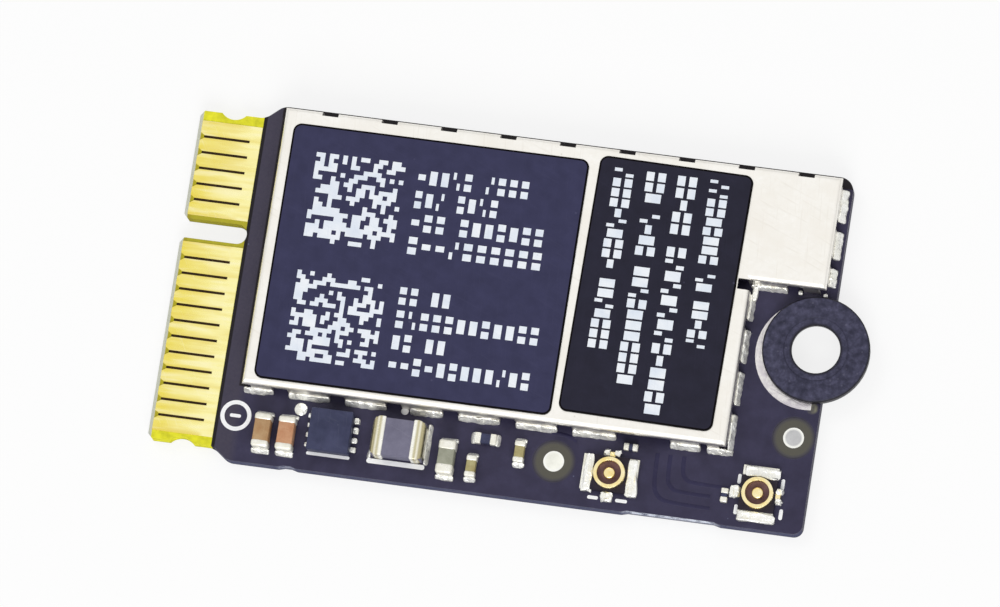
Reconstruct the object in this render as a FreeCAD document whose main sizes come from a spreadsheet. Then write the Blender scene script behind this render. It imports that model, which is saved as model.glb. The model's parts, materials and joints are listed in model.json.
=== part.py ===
import FreeCAD, Part
import Sketcher
import os
import re

os.makedirs("parts", exist_ok=True)
doc = FreeCAD.newDocument("wifi_card")

# Driving sizes in millimetres. X runs along the card from the contact edge, Y across it, Z up.
sizes = {
    # circuit board and its contact tongue
    "board_length": 30.6,
    "board_thickness": 0.8,
    "mask_thickness": 0.03,
    "corner_radius_top": 0.65,
    "corner_radius_bottom": 0.45,
    "tongue_length": 3.04,
    "tongue_margin_low": 0.37,
    "tongue_margin_high": 0.47,
    "tongue_corner": 0.22,
    "shoulder_offset": 0.05,
    "shoulder_run": 0.75,
    "shoulder_step_low": 0.58,
    "shoulder_step_high": 0.66,
    "shoulder_radius": 0.7,
    "bevel_size": 0.18,
    "key_width": 0.93,
    "key_depth": 3.08,
    "key_margin": 0.17,
    "detent_centre": 1.6,
    "detent_radius": 0.75,
    "detent_depth": 0.26,
    "scar_depth": 0.08,
    "scar_slope": 0.3,
    "scar_near_start": 6.2,
    "scar_near_length": 0.9,
    "scar_far_start": 22.2,
    "scar_far_length": 4.6,
    # edge contacts
    "contact_pitch": 0.75,
    "contact_gap": 0.12,
    "contact_thickness": 0.03,
    "contact_length": 2.83,
    "contact_root": 0.5,
    "contact_tip": 0.2,
    "contact_notch": 0.38,
    "long_contact_count": 12,
    "short_contact_count": 6,
    "under_gap": 0.2,
    "under_length": 2.3,
    # mounting ring and the bare copper that it stands on
    "ring_inset": 0.56,
    "ring_offset": 0.165,
    "ring_diameter": 4.96,
    "ring_thickness": 0.45,
    "ring_chamfer": 0.07,
    "ring_step": 0.03,
    "ring_step_width": 0.36,
    "bore_diameter": 2.24,
    "bore_land": 0.25,
    "neck_relief": 0.33,
    "neck_wall": 0.25,
    "neck_clearance": 0.1,
    "pad_thickness": 0.03,
    "mount_pad_reach": 0.08,
    "mount_pad_shift": 0.23,
    "mount_pad_gap": 0.08,
    "mount_pad_edge": 0.42,
    # shield can
    "shield_setback": 1.11,
    "strip_margin": 0.96,
    "coil_clearance": 0.37,
    "shield_margin_top": 0.29,
    "shield_margin_right": 0.43,
    "extension_length": 3.47,
    "extension_gap": 0.19,
    "shield_height": 1.3,
    "sheet_thickness": 0.15,
    "bend_radius": 0.24,
    "skirt_depth": 0.35,
    "corner_open": 0.36,
    "relief_length": 0.58,
    "relief_width": 0.5,
    "wall_gap": 0.75,
    "south_first": 1.72,
    "south_last": 2.38,
    "south_count": 6,
    "wide_gap": 2.55,
    "wide_gap_back": 2.63,
    "narrow_gap": 0.35,
    "narrow_gap_back": 0.93,
    "north_notch": 0.2,
    "north_first": 2.1,
    "north_last": 1.66,
    "north_count": 9,
    "west_first": 2.5,
    "west_last": 2.59,
    "west_count": 4,
    "east_gap": 0.48,
    "east_first": 1.92,
    "east_last": 1.41,
    "east_count": 3,
    "end_first": 1.44,
    "end_last": 2.11,
    "end_count": 2,
    "inner_gap_start": 1.62,
    "joint_reach": 0.24,
    "joint_height": 0.32,
    "joint_crest": 0.04,
    # labels
    "label_thickness": 0.08,
    "label_radius": 0.4,
    "label_margin_low": 0.31,
    "label_margin_high": 0.7,
    "main_label_inset": 0.51,
    "main_label_length": 13.86,
    "label_gap": 0.38,
    "label_relief_gap": 0.06,
    "side_label_lift": 0.26,
    "side_label_skew": 0.8,
    # antenna sockets
    "socket_gap": 0.41,
    "socket_a_height": 1.63,
    "socket_b_edge": 2.22,
    "socket_b_height": 1.6,
    "socket_turn": 90,
    "socket_base": 1.64,
    "socket_base_height": 0.28,
    "socket_tube": 1.46,
    "socket_tube_wall": 0.17,
    "socket_height": 0.62,
    "socket_floor": 0.15,
    "socket_foot_reach": 0.47,
    "socket_foot_height": 0.22,
    "socket_neck": 0.8,
    "socket_nub": 0.3,
    "socket_nub_reach": 0.22,
    "pin_diameter": 0.42,
    "pin_height": 0.5,
    "pin_tail_width": 0.4,
    "pin_tail_reach": 0.4,
    "pin_tail_height": 0.1,
    # chip parts: length, width, height and end band of each case size
    "plating": 0.03,
    "large_length": 1.6,
    "large_width": 0.8,
    "large_height": 0.8,
    "large_band": 0.36,
    "small_length": 1.0,
    "small_width": 0.5,
    "small_height": 0.5,
    "small_band": 0.26,
    "flat_height": 0.35,
    "flat_band": 0.28,
    "tiny_length": 0.66,
    "tiny_width": 0.33,
    "tiny_height": 0.3,
    "tiny_band": 0.25,
    "coil_length": 2.5,
    "coil_width": 1.86,
    "coil_height": 1.0,
    "coil_band": 0.6,
    "coil_plating": 0.06,
    "fillet_reach": 0.2,
    "fillet_height": 0.2,
    "fillet_crest": 0.03,
    # row of chip parts along the lower edge, each placed from its neighbour
    "row_start": 1.89,
    "large_edge": 0.67,
    "input_gap": 0.32,
    "regulator_gap": 0.46,
    "coil_gap": 0.59,
    "output_gap": 0.45,
    "output_edge": 0.55,
    "bypass_gap": 0.52,
    "bypass_edge": 0.62,
    "resistor_shift": 0.22,
    "resistor_gap": 0.43,
    "second_bypass_gap": 0.69,
    "second_bypass_edge": 1.58,
    "match_shift": 0.78,
    "match_gap": 0.165,
    "second_match_gap": 0.135,
    "second_match_drop": 0.25,
    # regulator
    "regulator_edge": 0.89,
    "regulator_side": 1.95,
    "regulator_height": 0.75,
    "lead_pitch": 0.45,
    "lead_width": 0.22,
    "lead_reach": 0.18,
    "lead_height": 0.16,
    "lead_count": 4,
    # round pads on the board
    "fiducial_radius": 0.48,
    "fiducial_halo": 0.97,
    "fiducial_gap": 0.37,
    "fiducial_height": 1.92,
    "second_fiducial_edge": 1.01,
    "second_fiducial_gap": 0.38,
    "test_pad_radius": 0.27,
    "test_pad_shift": 0.04,
    "test_pad_gap": 0.05,
    "test_pad_clearance": 0.1,
    # chips under the shield
    "radio_inset": 2.2,
    "radio_side": 7.0,
    "radio_height": 0.85,
    "chip_gap": 0.9,
    "bluetooth_side": 4.0,
    "bluetooth_height": 0.7,
    "bluetooth_lift": 2.4,
    "memory_length": 3.0,
    "memory_width": 2.0,
    "memory_height": 0.55,
    "crystal_length": 2.5,
    "crystal_width": 2.0,
    "crystal_base_height": 0.35,
    "crystal_lid_inset": 0.2,
    "crystal_lid_height": 0.3,
    "front_end_side": 2.5,
    "front_end_height": 0.6,
    "front_end_spread": 2.1,
    "filter_length": 2.0,
    "filter_width": 1.25,
    "filter_height": 0.7,
    "decoupling_clearance": 0.7,
    "decoupling_pitch": 1.9,
    "decoupling_count": 4,
}

sheet = doc.addObject("Spreadsheet::Sheet", "Sizes")
for row, (alias, value) in enumerate(sizes.items(), start=1):
    sheet.set(f"A{row}", alias)
    sheet.set(f"B{row}", str(value))
    sheet.setAlias(f"B{row}", alias)
doc.recompute()

# Places that follow from the sizes, written as expressions.
long_low = "(shoulder_step_low + tongue_margin_low)"
long_high = f"({long_low} + long_contact_count * contact_pitch)"
key_low = f"({long_high} + key_margin)"
key_high = f"({key_low} + key_width)"
short_low = f"({key_high} + key_margin)"
short_high = f"({short_low} + short_contact_count * contact_pitch)"
tongue_high = f"({short_high} + tongue_margin_high)"
board_high = f"({tongue_high} + shoulder_step_high)"
shoulder_x = "(tongue_length + shoulder_offset)"
tongue_top = "(board_thickness - mask_thickness)"
ring_x = "(board_length - ring_inset)"
ring_y = f"({board_high} / 2 + ring_offset)"
neck_radius = "(bore_diameter / 2 + neck_relief + neck_wall)"
notch_radius = f"({neck_radius} + neck_clearance)"
ring_seat = "(board_thickness + pad_thickness)"
shield_left = "(tongue_length + shield_setback)"
coil_top = "(strip_margin + coil_width + coil_clearance)"
test_pad_y = "(large_edge + large_length + fillet_reach + test_pad_gap + test_pad_radius)"
test_pad_top = f"({test_pad_y} + test_pad_radius + test_pad_clearance)"
shield_low = f"(max({coil_top}; {test_pad_top}) + joint_reach)"
shield_end = "(board_length - shield_margin_right)"
shield_right = f"({shield_end} - extension_length)"
shield_high = f"({board_high} - shield_margin_top)"
extension_low = f"({ring_y} + ring_diameter / 2 + extension_gap)"
shield_top = "(board_thickness + shield_height)"
gap_height = "(shield_height - skirt_depth)"
label_width = f"({shield_high} - {shield_low} - label_margin_low - label_margin_high)"
main_label_end = f"({shield_left} + main_label_inset + main_label_length)"
side_label_start = f"({main_label_end} + label_gap)"
side_label_length = f"({shield_right} - relief_length - label_relief_gap - {side_label_start})"
input_one_x = "(tongue_length + row_start + large_width / 2)"
input_two_x = f"({input_one_x} + large_width + input_gap)"
input_y = "(large_edge + large_length / 2)"
regulator_x = f"({input_two_x} + large_width / 2 + regulator_gap + lead_reach + regulator_side / 2)"
regulator_y = "(regulator_edge + regulator_side / 2)"
coil_x = f"({regulator_x} + regulator_side / 2 + lead_reach + coil_gap + fillet_reach + coil_length / 2)"
coil_y = "(strip_margin + coil_width / 2)"
output_x = f"({coil_x} + coil_length / 2 + fillet_reach + output_gap + large_width / 2)"
output_y = "(output_edge + large_length / 2)"
bypass_x = f"({output_x} + large_width / 2 + bypass_gap + small_width / 2)"
bypass_y = "(bypass_edge + small_length / 2)"
resistor_x = f"({bypass_x} - small_width / 2 + resistor_shift + small_length / 2)"
resistor_y = f"({bypass_y} + small_length / 2 + fillet_reach + resistor_gap + small_width / 2)"
second_bypass_x = f"({resistor_x} + small_length / 2 + fillet_reach + second_bypass_gap + small_width / 2)"
second_bypass_y = "(second_bypass_edge + small_length / 2)"
fiducial_x = f"({second_bypass_x} + small_width / 2 + fiducial_gap + fiducial_halo)"
pad_radius = "(ring_diameter / 2 + mount_pad_reach)"
second_fiducial_x = "(board_length - second_fiducial_edge)"
second_fiducial_y = f"({ring_y} - mount_pad_shift - {pad_radius} - second_fiducial_gap - fiducial_halo)"
test_pad_x = f"({input_two_x} + large_width / 2 + test_pad_shift)"
socket_half = "(socket_base / 2)"
socket_a_x = f"({fiducial_x} + fiducial_halo + socket_gap + socket_foot_reach + {socket_half})"
socket_a_y = "socket_a_height"
socket_b_x = "(board_length - socket_b_edge)"
socket_b_y = "socket_b_height"
match_x = f"({socket_a_x} + match_shift)"
match_y = f"({socket_a_y} + {socket_half} + socket_nub_reach + match_gap + tiny_width / 2)"
second_match_x = f"({socket_b_x} - {socket_half} - pin_tail_reach - second_match_gap - tiny_width / 2)"
second_match_y = f"({socket_b_y} - second_match_drop)"
shield_middle = f"(({shield_low} + {shield_high}) / 2)"
radio_x = f"({shield_left} + sheet_thickness + radio_inset + radio_side / 2)"
bluetooth_left = f"({radio_x} + radio_side / 2 + 2 * decoupling_clearance)"
bluetooth_x = f"({bluetooth_left} + bluetooth_side / 2)"
bluetooth_y = f"({shield_middle} + bluetooth_lift)"
memory_x = f"({bluetooth_left} + memory_length / 2)"
memory_y = f"({bluetooth_y} - bluetooth_side / 2 - chip_gap - memory_width / 2)"
crystal_x = f"({bluetooth_left} + crystal_length / 2)"
crystal_y = f"({memory_y} - memory_width / 2 - chip_gap - crystal_width / 2)"
bluetooth_right = f"({bluetooth_left} + bluetooth_side)"
free_run = f"({shield_right} - sheet_thickness - {bluetooth_right} - front_end_side - filter_width)"
column_gap = f"({free_run} / 3)"
front_end_x = f"({bluetooth_right} + {column_gap} + front_end_side / 2)"
filter_x = f"({front_end_x} + front_end_side / 2 + {column_gap} + filter_width / 2)"
end_filter_x = f"(({shield_right} + {shield_end}) / 2)"
end_filter_y = f"(({extension_low} + {shield_high}) / 2)"
origin_x = f"(({ring_x} + ring_diameter / 2) / 2)"
origin_y = f"({board_high} / 2)"
beyond = "0.5"

nodes = []


def on_sheet(text):
    return re.sub(r"[a-z_]{4,}", lambda word: "Sizes." + word.group(), text)


def bind(item, links):
    for path, text in links.items():
        item.setExpression(path, on_sheet(text))


def read(alias):
    return float(sheet.get(alias))


def node(item, label):
    item.Label = label
    nodes.append(item)
    return item


def new_body(label, x="0", y="0"):
    body = doc.addObject("PartDesign::Body", label)
    bind(body, {"Placement.Base.x": f"{x} - {origin_x}", "Placement.Base.y": f"{y} - {origin_y}"})
    return node(body, label)


def datum(body, role):
    return [item for item in body.Origin.OriginFeatures if item.Role == role][0]


def sketch(body, name, height="0", role="XY_Plane"):
    drawing = body.newObject("Sketcher::SketchObject", name)
    drawing.AttachmentSupport = [(datum(body, role), "")]
    drawing.MapMode = "FlatFace"
    if height != "0":
        bind(drawing, {"AttachmentOffset.Base.z": height})
    return drawing


def fix_point(drawing, line, end, x, y):
    for direction, text in (("DistanceX", x), ("DistanceY", y)):
        number = drawing.addConstraint(Sketcher.Constraint(direction, -1, 1, line, end, 1.0))
        bind(drawing, {f"Constraints[{number}]": text})


def polygon(drawing, corners):
    first = drawing.GeometryCount
    count = len(corners)
    for place in range(count):
        start = FreeCAD.Vector(place, place * place, 0)
        after = (place + 1) % count
        end = FreeCAD.Vector(after, after * after, 0)
        drawing.addGeometry(Part.LineSegment(start, end), False)
    for place in range(count):
        joined = Sketcher.Constraint("Coincident", first + place, 2, first + (place + 1) % count, 1)
        drawing.addConstraint(joined)
    for place, (x, y) in enumerate(corners):
        fix_point(drawing, first + place, 1, x, y)


def rectangle(drawing, left, right, low, high):
    polygon(drawing, [(left, low), (right, low), (right, high), (left, high)])


def circle(drawing, x, y, radius):
    number = drawing.addGeometry(Part.Circle(FreeCAD.Vector(1, 1, 0), FreeCAD.Vector(0, 0, 1), 1), False)
    fix_point(drawing, number, 3, x, y)
    size = drawing.addConstraint(Sketcher.Constraint("Radius", number, 1.0))
    bind(drawing, {f"Constraints[{size}]": radius})


def pad(body, drawing, name, length):
    feature = body.newObject("PartDesign::Pad", name)
    feature.Profile = drawing
    bind(feature, {"Length": length})
    doc.recompute()
    return feature


def pocket(body, drawing, name, depth=None, upward=False):
    feature = body.newObject("PartDesign::Pocket", name)
    feature.Profile = drawing
    feature.Reversed = upward
    if depth is None:
        feature.Type = "ThroughAll"
    else:
        bind(feature, {"Length": depth})
    doc.recompute()
    return feature


def repeat(body, feature, name, axis, pitch, count):
    pattern = body.newObject("PartDesign::LinearPattern", name)
    pattern.Originals = [feature]
    pattern.Direction = (datum(body, axis), [""])
    pattern.Mode = "Spacing"
    bind(pattern, {"Offset": pitch, "Occurrences": count})
    body.Tip = pattern
    doc.recompute()
    return pattern


def upright_edges(shape, spots):
    names = []
    for number, edge in enumerate(shape.Edges, start=1):
        low, high = edge.Vertexes[0].Point, edge.Vertexes[-1].Point
        if abs(low.z - high.z) < 1e-6 or abs(low.x - high.x) + abs(low.y - high.y) > 1e-6:
            continue
        if any(abs(low.x - spot.x) + abs(low.y - spot.y) < 1e-5 for spot in spots):
            names.append(f"Edge{number}")
    return names


def level_edges(shape, height):
    names = []
    for number, edge in enumerate(shape.Edges, start=1):
        box = edge.BoundBox
        if abs(box.ZMin - height) < 1e-5 and abs(box.ZMax - height) < 1e-5:
            names.append(f"Edge{number}")
    return names


def round_corners(body, base, drawing, corners, name, radius):
    fillet = body.newObject("PartDesign::Fillet", name)
    spots = [drawing.Geometry[corner].StartPoint for corner in corners]
    fillet.Base = (base, upright_edges(base.Shape, spots))
    bind(fillet, {"Radius": radius})
    doc.recompute()
    return fillet


def block(name, left, low, floor, length, width, height):
    item = doc.addObject("Part::Box", name)
    bind(item, {"Length": length, "Width": width, "Height": height})
    bind(item, {"Placement.Base.x": left, "Placement.Base.y": low, "Placement.Base.z": floor})
    return item


def group(label, items):
    whole = doc.addObject("Part::Compound", label)
    whole.Links = items
    bind(whole, {"Placement.Base.x": f"-{origin_x}", "Placement.Base.y": f"-{origin_y}"})
    return node(whole, label)


# Circuit board: outline, key slot, detents, mounting notch, mask openings and bevelled tongue.
board = new_body("circuit_board")
outline = sketch(board, "board_outline")
polygon(outline, [
    ("0", "shoulder_step_low + tongue_corner"),
    ("tongue_corner", "shoulder_step_low"),
    (shoulder_x, "shoulder_step_low"),
    (f"{shoulder_x} + shoulder_run", "0"),
    ("board_length", "0"),
    ("board_length", board_high),
    (f"{shoulder_x} + shoulder_run", board_high),
    (shoulder_x, tongue_high),
    ("tongue_corner", tongue_high),
    ("0", f"{tongue_high} - tongue_corner"),
])
laminate = pad(board, outline, "laminate", "board_thickness")
laminate = round_corners(board, laminate, outline, [2, 3, 6, 7], "shoulder_rounds", "shoulder_radius")
laminate = round_corners(board, laminate, outline, [4], "lower_corner", "corner_radius_bottom")
laminate = round_corners(board, laminate, outline, [5], "upper_corner", "corner_radius_top")

key_straight = sketch(board, "key_straight", "board_thickness")
polygon(key_straight, [
    (f"-{beyond}", f"{key_low} - tongue_corner"),
    ("0", f"{key_low} - tongue_corner"),
    ("tongue_corner", key_low),
    ("key_depth - key_width / 2", key_low),
    ("key_depth - key_width / 2", key_high),
    ("tongue_corner", key_high),
    ("0", f"{key_high} + tongue_corner"),
    (f"-{beyond}", f"{key_high} + tongue_corner"),
])
pocket(board, key_straight, "key_slot")
key_round = sketch(board, "key_round", "board_thickness")
circle(key_round, "key_depth - key_width / 2", f"({key_low} + {key_high}) / 2", "key_width / 2")
pocket(board, key_round, "key_slot_end")

detents = sketch(board, "detent_circles", "board_thickness")
circle(detents, "detent_centre", "shoulder_step_low + detent_depth - detent_radius", "detent_radius")
circle(detents, "detent_centre", f"{tongue_high} - detent_depth + detent_radius", "detent_radius")
pocket(board, detents, "detent_notches")

notch = sketch(board, "mount_notch_circle", "board_thickness")
circle(notch, ring_x, ring_y, notch_radius)
pocket(board, notch, "mount_notch")

scars = sketch(board, "breakaway_scars", "board_thickness")
for start, length in (("scar_near_start", "scar_near_length"), ("scar_far_start", "scar_far_length")):
    polygon(scars, [
        (start, f"-{beyond}"),
        (f"{start} + {length}", f"-{beyond}"),
        (f"{start} + {length}", "0"),
        (f"{start} + {length} - scar_slope", "scar_depth"),
        (f"{start} + scar_slope", "scar_depth"),
        (start, "0"),
    ])
pocket(board, scars, "breakaway_edges")

bare_top = sketch(board, "bare_tongue_top", "board_thickness")
rectangle(bare_top, f"-{beyond}", "tongue_length", f"-{beyond}", f"{board_high} + {beyond}")
pocket(board, bare_top, "bare_tongue_upper", "mask_thickness")
bare_under = sketch(board, "bare_tongue_under")
rectangle(bare_under, f"-{beyond}", "tongue_length", f"-{beyond}", f"{board_high} + {beyond}")
pocket(board, bare_under, "bare_tongue_lower", "mask_thickness", upward=True)

halos = sketch(board, "fiducial_halos", "board_thickness")
circle(halos, fiducial_x, "fiducial_height", "fiducial_halo")
circle(halos, second_fiducial_x, second_fiducial_y, "fiducial_halo")
openings = pocket(board, halos, "mask_openings", "mask_thickness")

bevel = board.newObject("PartDesign::Chamfer", "tongue_bevel")
front = []
for number, edge in enumerate(openings.Shape.Edges, start=1):
    box = edge.BoundBox
    if box.XMax < 1e-5 and box.ZLength < 1e-5:
        front.append(f"Edge{number}")
bevel.Base = (openings, front)
bind(bevel, {"Size": "bevel_size"})
doc.recompute()

# Gold contacts: combs joined at the root on the upper face, separate fingers on the underside.
for label, low, count in (
    ("edge_contacts_long", long_low, "long_contact_count"),
    ("edge_contacts_short", short_low, "short_contact_count"),
):
    comb = new_body(label)
    field = sketch(comb, label + "_field", tongue_top)
    rectangle(field, "bevel_size", "bevel_size + contact_length", low, f"{low} + {count} * contact_pitch")
    pad(comb, field, label + "_plate", "contact_thickness")
    slit = sketch(comb, label + "_slit", f"{tongue_top} + contact_thickness")
    middle = f"{low} + contact_pitch"
    slit_end = "bevel_size + contact_length - contact_root"
    polygon(slit, [
        ("0", f"{middle} - contact_notch / 2"),
        ("bevel_size", f"{middle} - contact_notch / 2"),
        ("bevel_size + contact_tip", f"{middle} - contact_gap / 2"),
        (slit_end, f"{middle} - contact_gap / 2"),
        (slit_end, f"{middle} + contact_gap / 2"),
        ("bevel_size + contact_tip", f"{middle} + contact_gap / 2"),
        ("bevel_size", f"{middle} + contact_notch / 2"),
        ("0", f"{middle} + contact_notch / 2"),
    ])
    cut = pocket(comb, slit, label + "_cut")
    repeat(comb, cut, label + "_cuts", "Y_Axis", "contact_pitch", f"{count} - 1")

for label, low, count in (
    ("underside_contacts_long", long_low, "long_contact_count"),
    ("underside_contacts_short", short_low, "short_contact_count"),
):
    fingers = []
    for place in range(int(read(count))):
        fingers.append(block(
            f"{label}_{place + 1}",
            "bevel_size",
            f"{low} + {place} * contact_pitch + under_gap / 2",
            "mask_thickness - contact_thickness",
            "under_length",
            "contact_pitch - under_gap",
            "contact_thickness",
        ))
    group(label, fingers)

# Mounting ring: a flanged eyelet turned about the screw axis, standing on a bare copper annulus.
mount_pad = new_body("mount_ground_pad")
disc = sketch(mount_pad, "mount_pad_disc", "board_thickness")
circle(disc, f"{ring_x} - mount_pad_shift", f"{ring_y} - mount_pad_shift", pad_radius)
pad(mount_pad, disc, "mount_pad_plate", "pad_thickness")
inside = sketch(mount_pad, "mount_pad_hole", f"{ring_seat} + {beyond}")
circle(inside, ring_x, ring_y, f"{notch_radius} + mount_pad_gap")
pocket(mount_pad, inside, "mount_pad_opening")
edge_side = sketch(mount_pad, "mount_pad_side", f"{ring_seat} + {beyond}")
rectangle(
    edge_side,
    "board_length - mount_pad_edge",
    "board_length + ring_diameter",
    f"{ring_y} - ring_diameter",
    f"{ring_y} + ring_diameter",
)
pocket(mount_pad, edge_side, "mount_pad_trim")

ring = new_body("mounting_ring", ring_x, ring_y)
section = sketch(ring, "ring_section", role="XZ_Plane")
ring_top = f"({ring_seat} + ring_thickness)"
polygon(section, [
    ("bore_diameter / 2 + neck_relief", "0"),
    (neck_radius, "0"),
    (neck_radius, ring_seat),
    ("ring_diameter / 2", ring_seat),
    ("ring_diameter / 2", ring_top),
    ("bore_diameter / 2 + ring_step_width", ring_top),
    ("bore_diameter / 2 + ring_step_width", f"{ring_top} - ring_step"),
    ("bore_diameter / 2", f"{ring_top} - ring_step"),
    ("bore_diameter / 2", f"{ring_top} - bore_land"),
    ("bore_diameter / 2 + neck_relief", f"{ring_top} - bore_land"),
])
turned = ring.newObject("PartDesign::Revolution", "ring_turned")
turned.Profile = section
turned.ReferenceAxis = (datum(ring, "Z_Axis"), [""])
turned.Angle = 360
doc.recompute()
ring_edges = ring.newObject("PartDesign::Chamfer", "ring_edges")
rims = level_edges(turned.Shape, turned.Shape.BoundBox.ZMax)
outer_rim = max(rims, key=lambda name: turned.Shape.getElement(name).Length)
ring_edges.Base = (turned, [outer_rim])
bind(ring_edges, {"Size": "ring_chamfer"})
doc.recompute()

# Shield can: one folded sheet whose walls stand on the board as a row of tabs.
can = new_body("shield_can")
plan = sketch(can, "shield_plan", "board_thickness")
polygon(plan, [
    (shield_left, shield_low),
    (shield_right, shield_low),
    (shield_right, extension_low),
    (shield_end, extension_low),
    (shield_end, shield_high),
    (shield_left, shield_high),
])
full = pad(can, plan, "shield_block", "shield_height")
bends = can.newObject("PartDesign::Fillet", "shield_bends")
bends.Base = (full, level_edges(full.Shape, full.Shape.BoundBox.ZMax))
bind(bends, {"Radius": "bend_radius"})
doc.recompute()
cavity = sketch(can, "shield_cavity", "board_thickness")
polygon(cavity, [
    (f"{shield_left} + sheet_thickness", f"{shield_low} + sheet_thickness"),
    (f"{shield_right} - sheet_thickness", f"{shield_low} + sheet_thickness"),
    (f"{shield_right} - sheet_thickness", f"{extension_low} + sheet_thickness"),
    (f"{shield_end} - sheet_thickness", f"{extension_low} + sheet_thickness"),
    (f"{shield_end} - sheet_thickness", f"{shield_high} - sheet_thickness"),
    (f"{shield_left} + sheet_thickness", f"{shield_high} - sheet_thickness"),
])
pocket(can, cavity, "shield_hollow", "shield_height - sheet_thickness", upward=True)

corner_cuts = sketch(can, "corner_cuts", "board_thickness")
for x, y, to_x, to_y in (
    (shield_left, shield_low, 1, 1),
    (shield_right, shield_low, -1, 1),
    (shield_end, extension_low, -1, 1),
    (shield_end, shield_high, -1, -1),
    (shield_left, shield_high, 1, -1),
):
    rectangle(
        corner_cuts,
        f"{x} - {to_x} * {beyond}",
        f"{x} + {to_x} * corner_open",
        f"{y} - {to_y} * {beyond}",
        f"{y} + {to_y} * corner_open",
    )
pocket(can, corner_cuts, "open_corners", gap_height, upward=True)

relief = sketch(can, "inner_relief", f"{shield_top} + {beyond}")
rectangle(
    relief,
    f"{shield_right} - relief_length",
    f"{shield_right} + {beyond}",
    f"{extension_low} - relief_width",
    extension_low,
)
pocket(can, relief, "inner_corner_relief")

wall_depth = "(2 * sheet_thickness)"


def wall_gaps(name, axis, middle, wall, inward, width, pitch, count, depth=wall_depth, height=gap_height):
    cut = sketch(can, name, "board_thickness")
    ends = (f"{middle} - {width} / 2", f"{middle} + {width} / 2")
    across = (f"{wall} - {inward} * {beyond}", f"{wall} + {inward} * {depth}")
    if axis == "X_Axis":
        rectangle(cut, *ends, *across)
    else:
        rectangle(cut, *across, *ends)
    opening = pocket(can, cut, name + "_opening", height, upward=True)
    if count:
        repeat(can, opening, name + "_row", axis, pitch, count)


wide_end = f"({shield_right} - wide_gap_back)"
narrow_end = f"({shield_right} - narrow_gap_back)"
inner_start = f"({shield_right} + inner_gap_start)"


def spread(wall, start, stop):
    # the first and last gap keep their distance from the wall's ends, and the others share what is between
    first = f"({start} + {wall}_first)"
    last = f"({stop} - {wall}_last)"
    return first, f"(({last} - {first}) / ({wall}_count - 1))"


south_first, south_pitch = spread("south", shield_left, f"{wide_end} - wide_gap")
north_first, north_pitch = spread("north", shield_left, shield_end)
west_first, west_pitch = spread("west", shield_low, shield_high)
east_first, east_pitch = spread("east", shield_low, f"{extension_low} - relief_width")
end_first, end_pitch = spread("end", extension_low, shield_high)
wall_gaps("south_gap", "X_Axis", south_first, shield_low, 1, "wall_gap", south_pitch, "south_count")
wall_gaps("wide_gap", "X_Axis", f"({wide_end} - wide_gap / 2)", shield_low, 1, "wide_gap", "", "")
wall_gaps("narrow_gap", "X_Axis", f"({narrow_end} - narrow_gap / 2)", shield_low, 1, "narrow_gap", "", "")
north_row = (shield_high, -1, "wall_gap", north_pitch, "north_count")
wall_gaps("north_gap", "X_Axis", north_first, *north_row, "north_notch", f"shield_height + {beyond}")
wall_gaps("west_gap", "Y_Axis", west_first, shield_left, 1, "wall_gap", west_pitch, "west_count")
wall_gaps("east_gap", "Y_Axis", east_first, shield_right, -1, "east_gap", east_pitch, "east_count")
wall_gaps("end_gap", "Y_Axis", end_first, shield_end, -1, "east_gap", end_pitch, "end_count")
wall_gaps("inner_gap", "X_Axis", f"({inner_start} + wall_gap / 2)", extension_low, 1, "wall_gap", "", "")


# Solder along the foot of the shield's tabs: sloped strips against the wall's outer face.
def solder_strip(name, x, y, turn, length, reach, height, crest):
    strip = doc.addObject("Part::Wedge", name)
    lying = FreeCAD.Rotation(FreeCAD.Vector(1, 0, 0), 90)
    facing = FreeCAD.Rotation(FreeCAD.Vector(0, 0, 1), turn)
    strip.Placement = FreeCAD.Placement(FreeCAD.Vector(0, 0, 0), facing.multiply(lying))
    bind(strip, {"Xmin": "0", "Ymin": "0", "Zmin": "0", "X2min": "0", "Z2min": "0"})
    bind(strip, {"Xmax": length, "X2max": length, "Ymax": height, "Zmax": reach, "Z2max": crest})
    bind(strip, {"Placement.Base.x": x, "Placement.Base.y": y, "Placement.Base.z": "board_thickness"})
    return strip


def row_of_tabs(first, pitch, count, gap, start, stop):
    tabs = [(start, f"{first} - {gap} / 2")]
    for place in range(count - 1):
        after = f"{first} + {place} * {pitch} + {gap} / 2"
        before = f"{first} + {place + 1} * {pitch} - {gap} / 2"
        tabs.append((after, before))
    tabs.append((f"{first} + {count - 1} * {pitch} + {gap} / 2", stop))
    return tabs


joint_sizes = ("joint_reach", "joint_height", "joint_crest")
joints = []
south = row_of_tabs(
    south_first, south_pitch, int(read("south_count")), "wall_gap",
    shield_left, f"{wide_end} - wide_gap",
)
south.append((wide_end, f"{narrow_end} - narrow_gap"))
south.append((narrow_end, f"{shield_right} + joint_reach"))
for place, (start, stop) in enumerate(south):
    joints.append(solder_strip(
        f"south_joint_{place + 1}", start, shield_low, 0, f"({stop}) - ({start})", *joint_sizes))
north = row_of_tabs(
    north_first, north_pitch, int(read("north_count")), "wall_gap",
    f"{shield_left} + corner_open", f"{shield_end} - corner_open",
)
for place, (start, stop) in enumerate(north):
    joints.append(solder_strip(
        f"north_joint_{place + 1}", stop, shield_high, 180, f"({stop}) - ({start})", *joint_sizes))
east = row_of_tabs(
    east_first, east_pitch, int(read("east_count")), "east_gap",
    shield_low, f"{extension_low} - relief_width",
)
for place, (start, stop) in enumerate(east):
    joints.append(solder_strip(
        f"east_joint_{place + 1}", shield_right, start, 90, f"({stop}) - ({start})", *joint_sizes))
end_row = row_of_tabs(
    end_first, end_pitch, int(read("end_count")), "east_gap",
    f"{extension_low} + corner_open", f"{shield_high} - corner_open",
)
for place, (start, stop) in enumerate(end_row):
    joints.append(solder_strip(
        f"end_joint_{place + 1}", shield_end, start, 90, f"({stop}) - ({start})", *joint_sizes))
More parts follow.
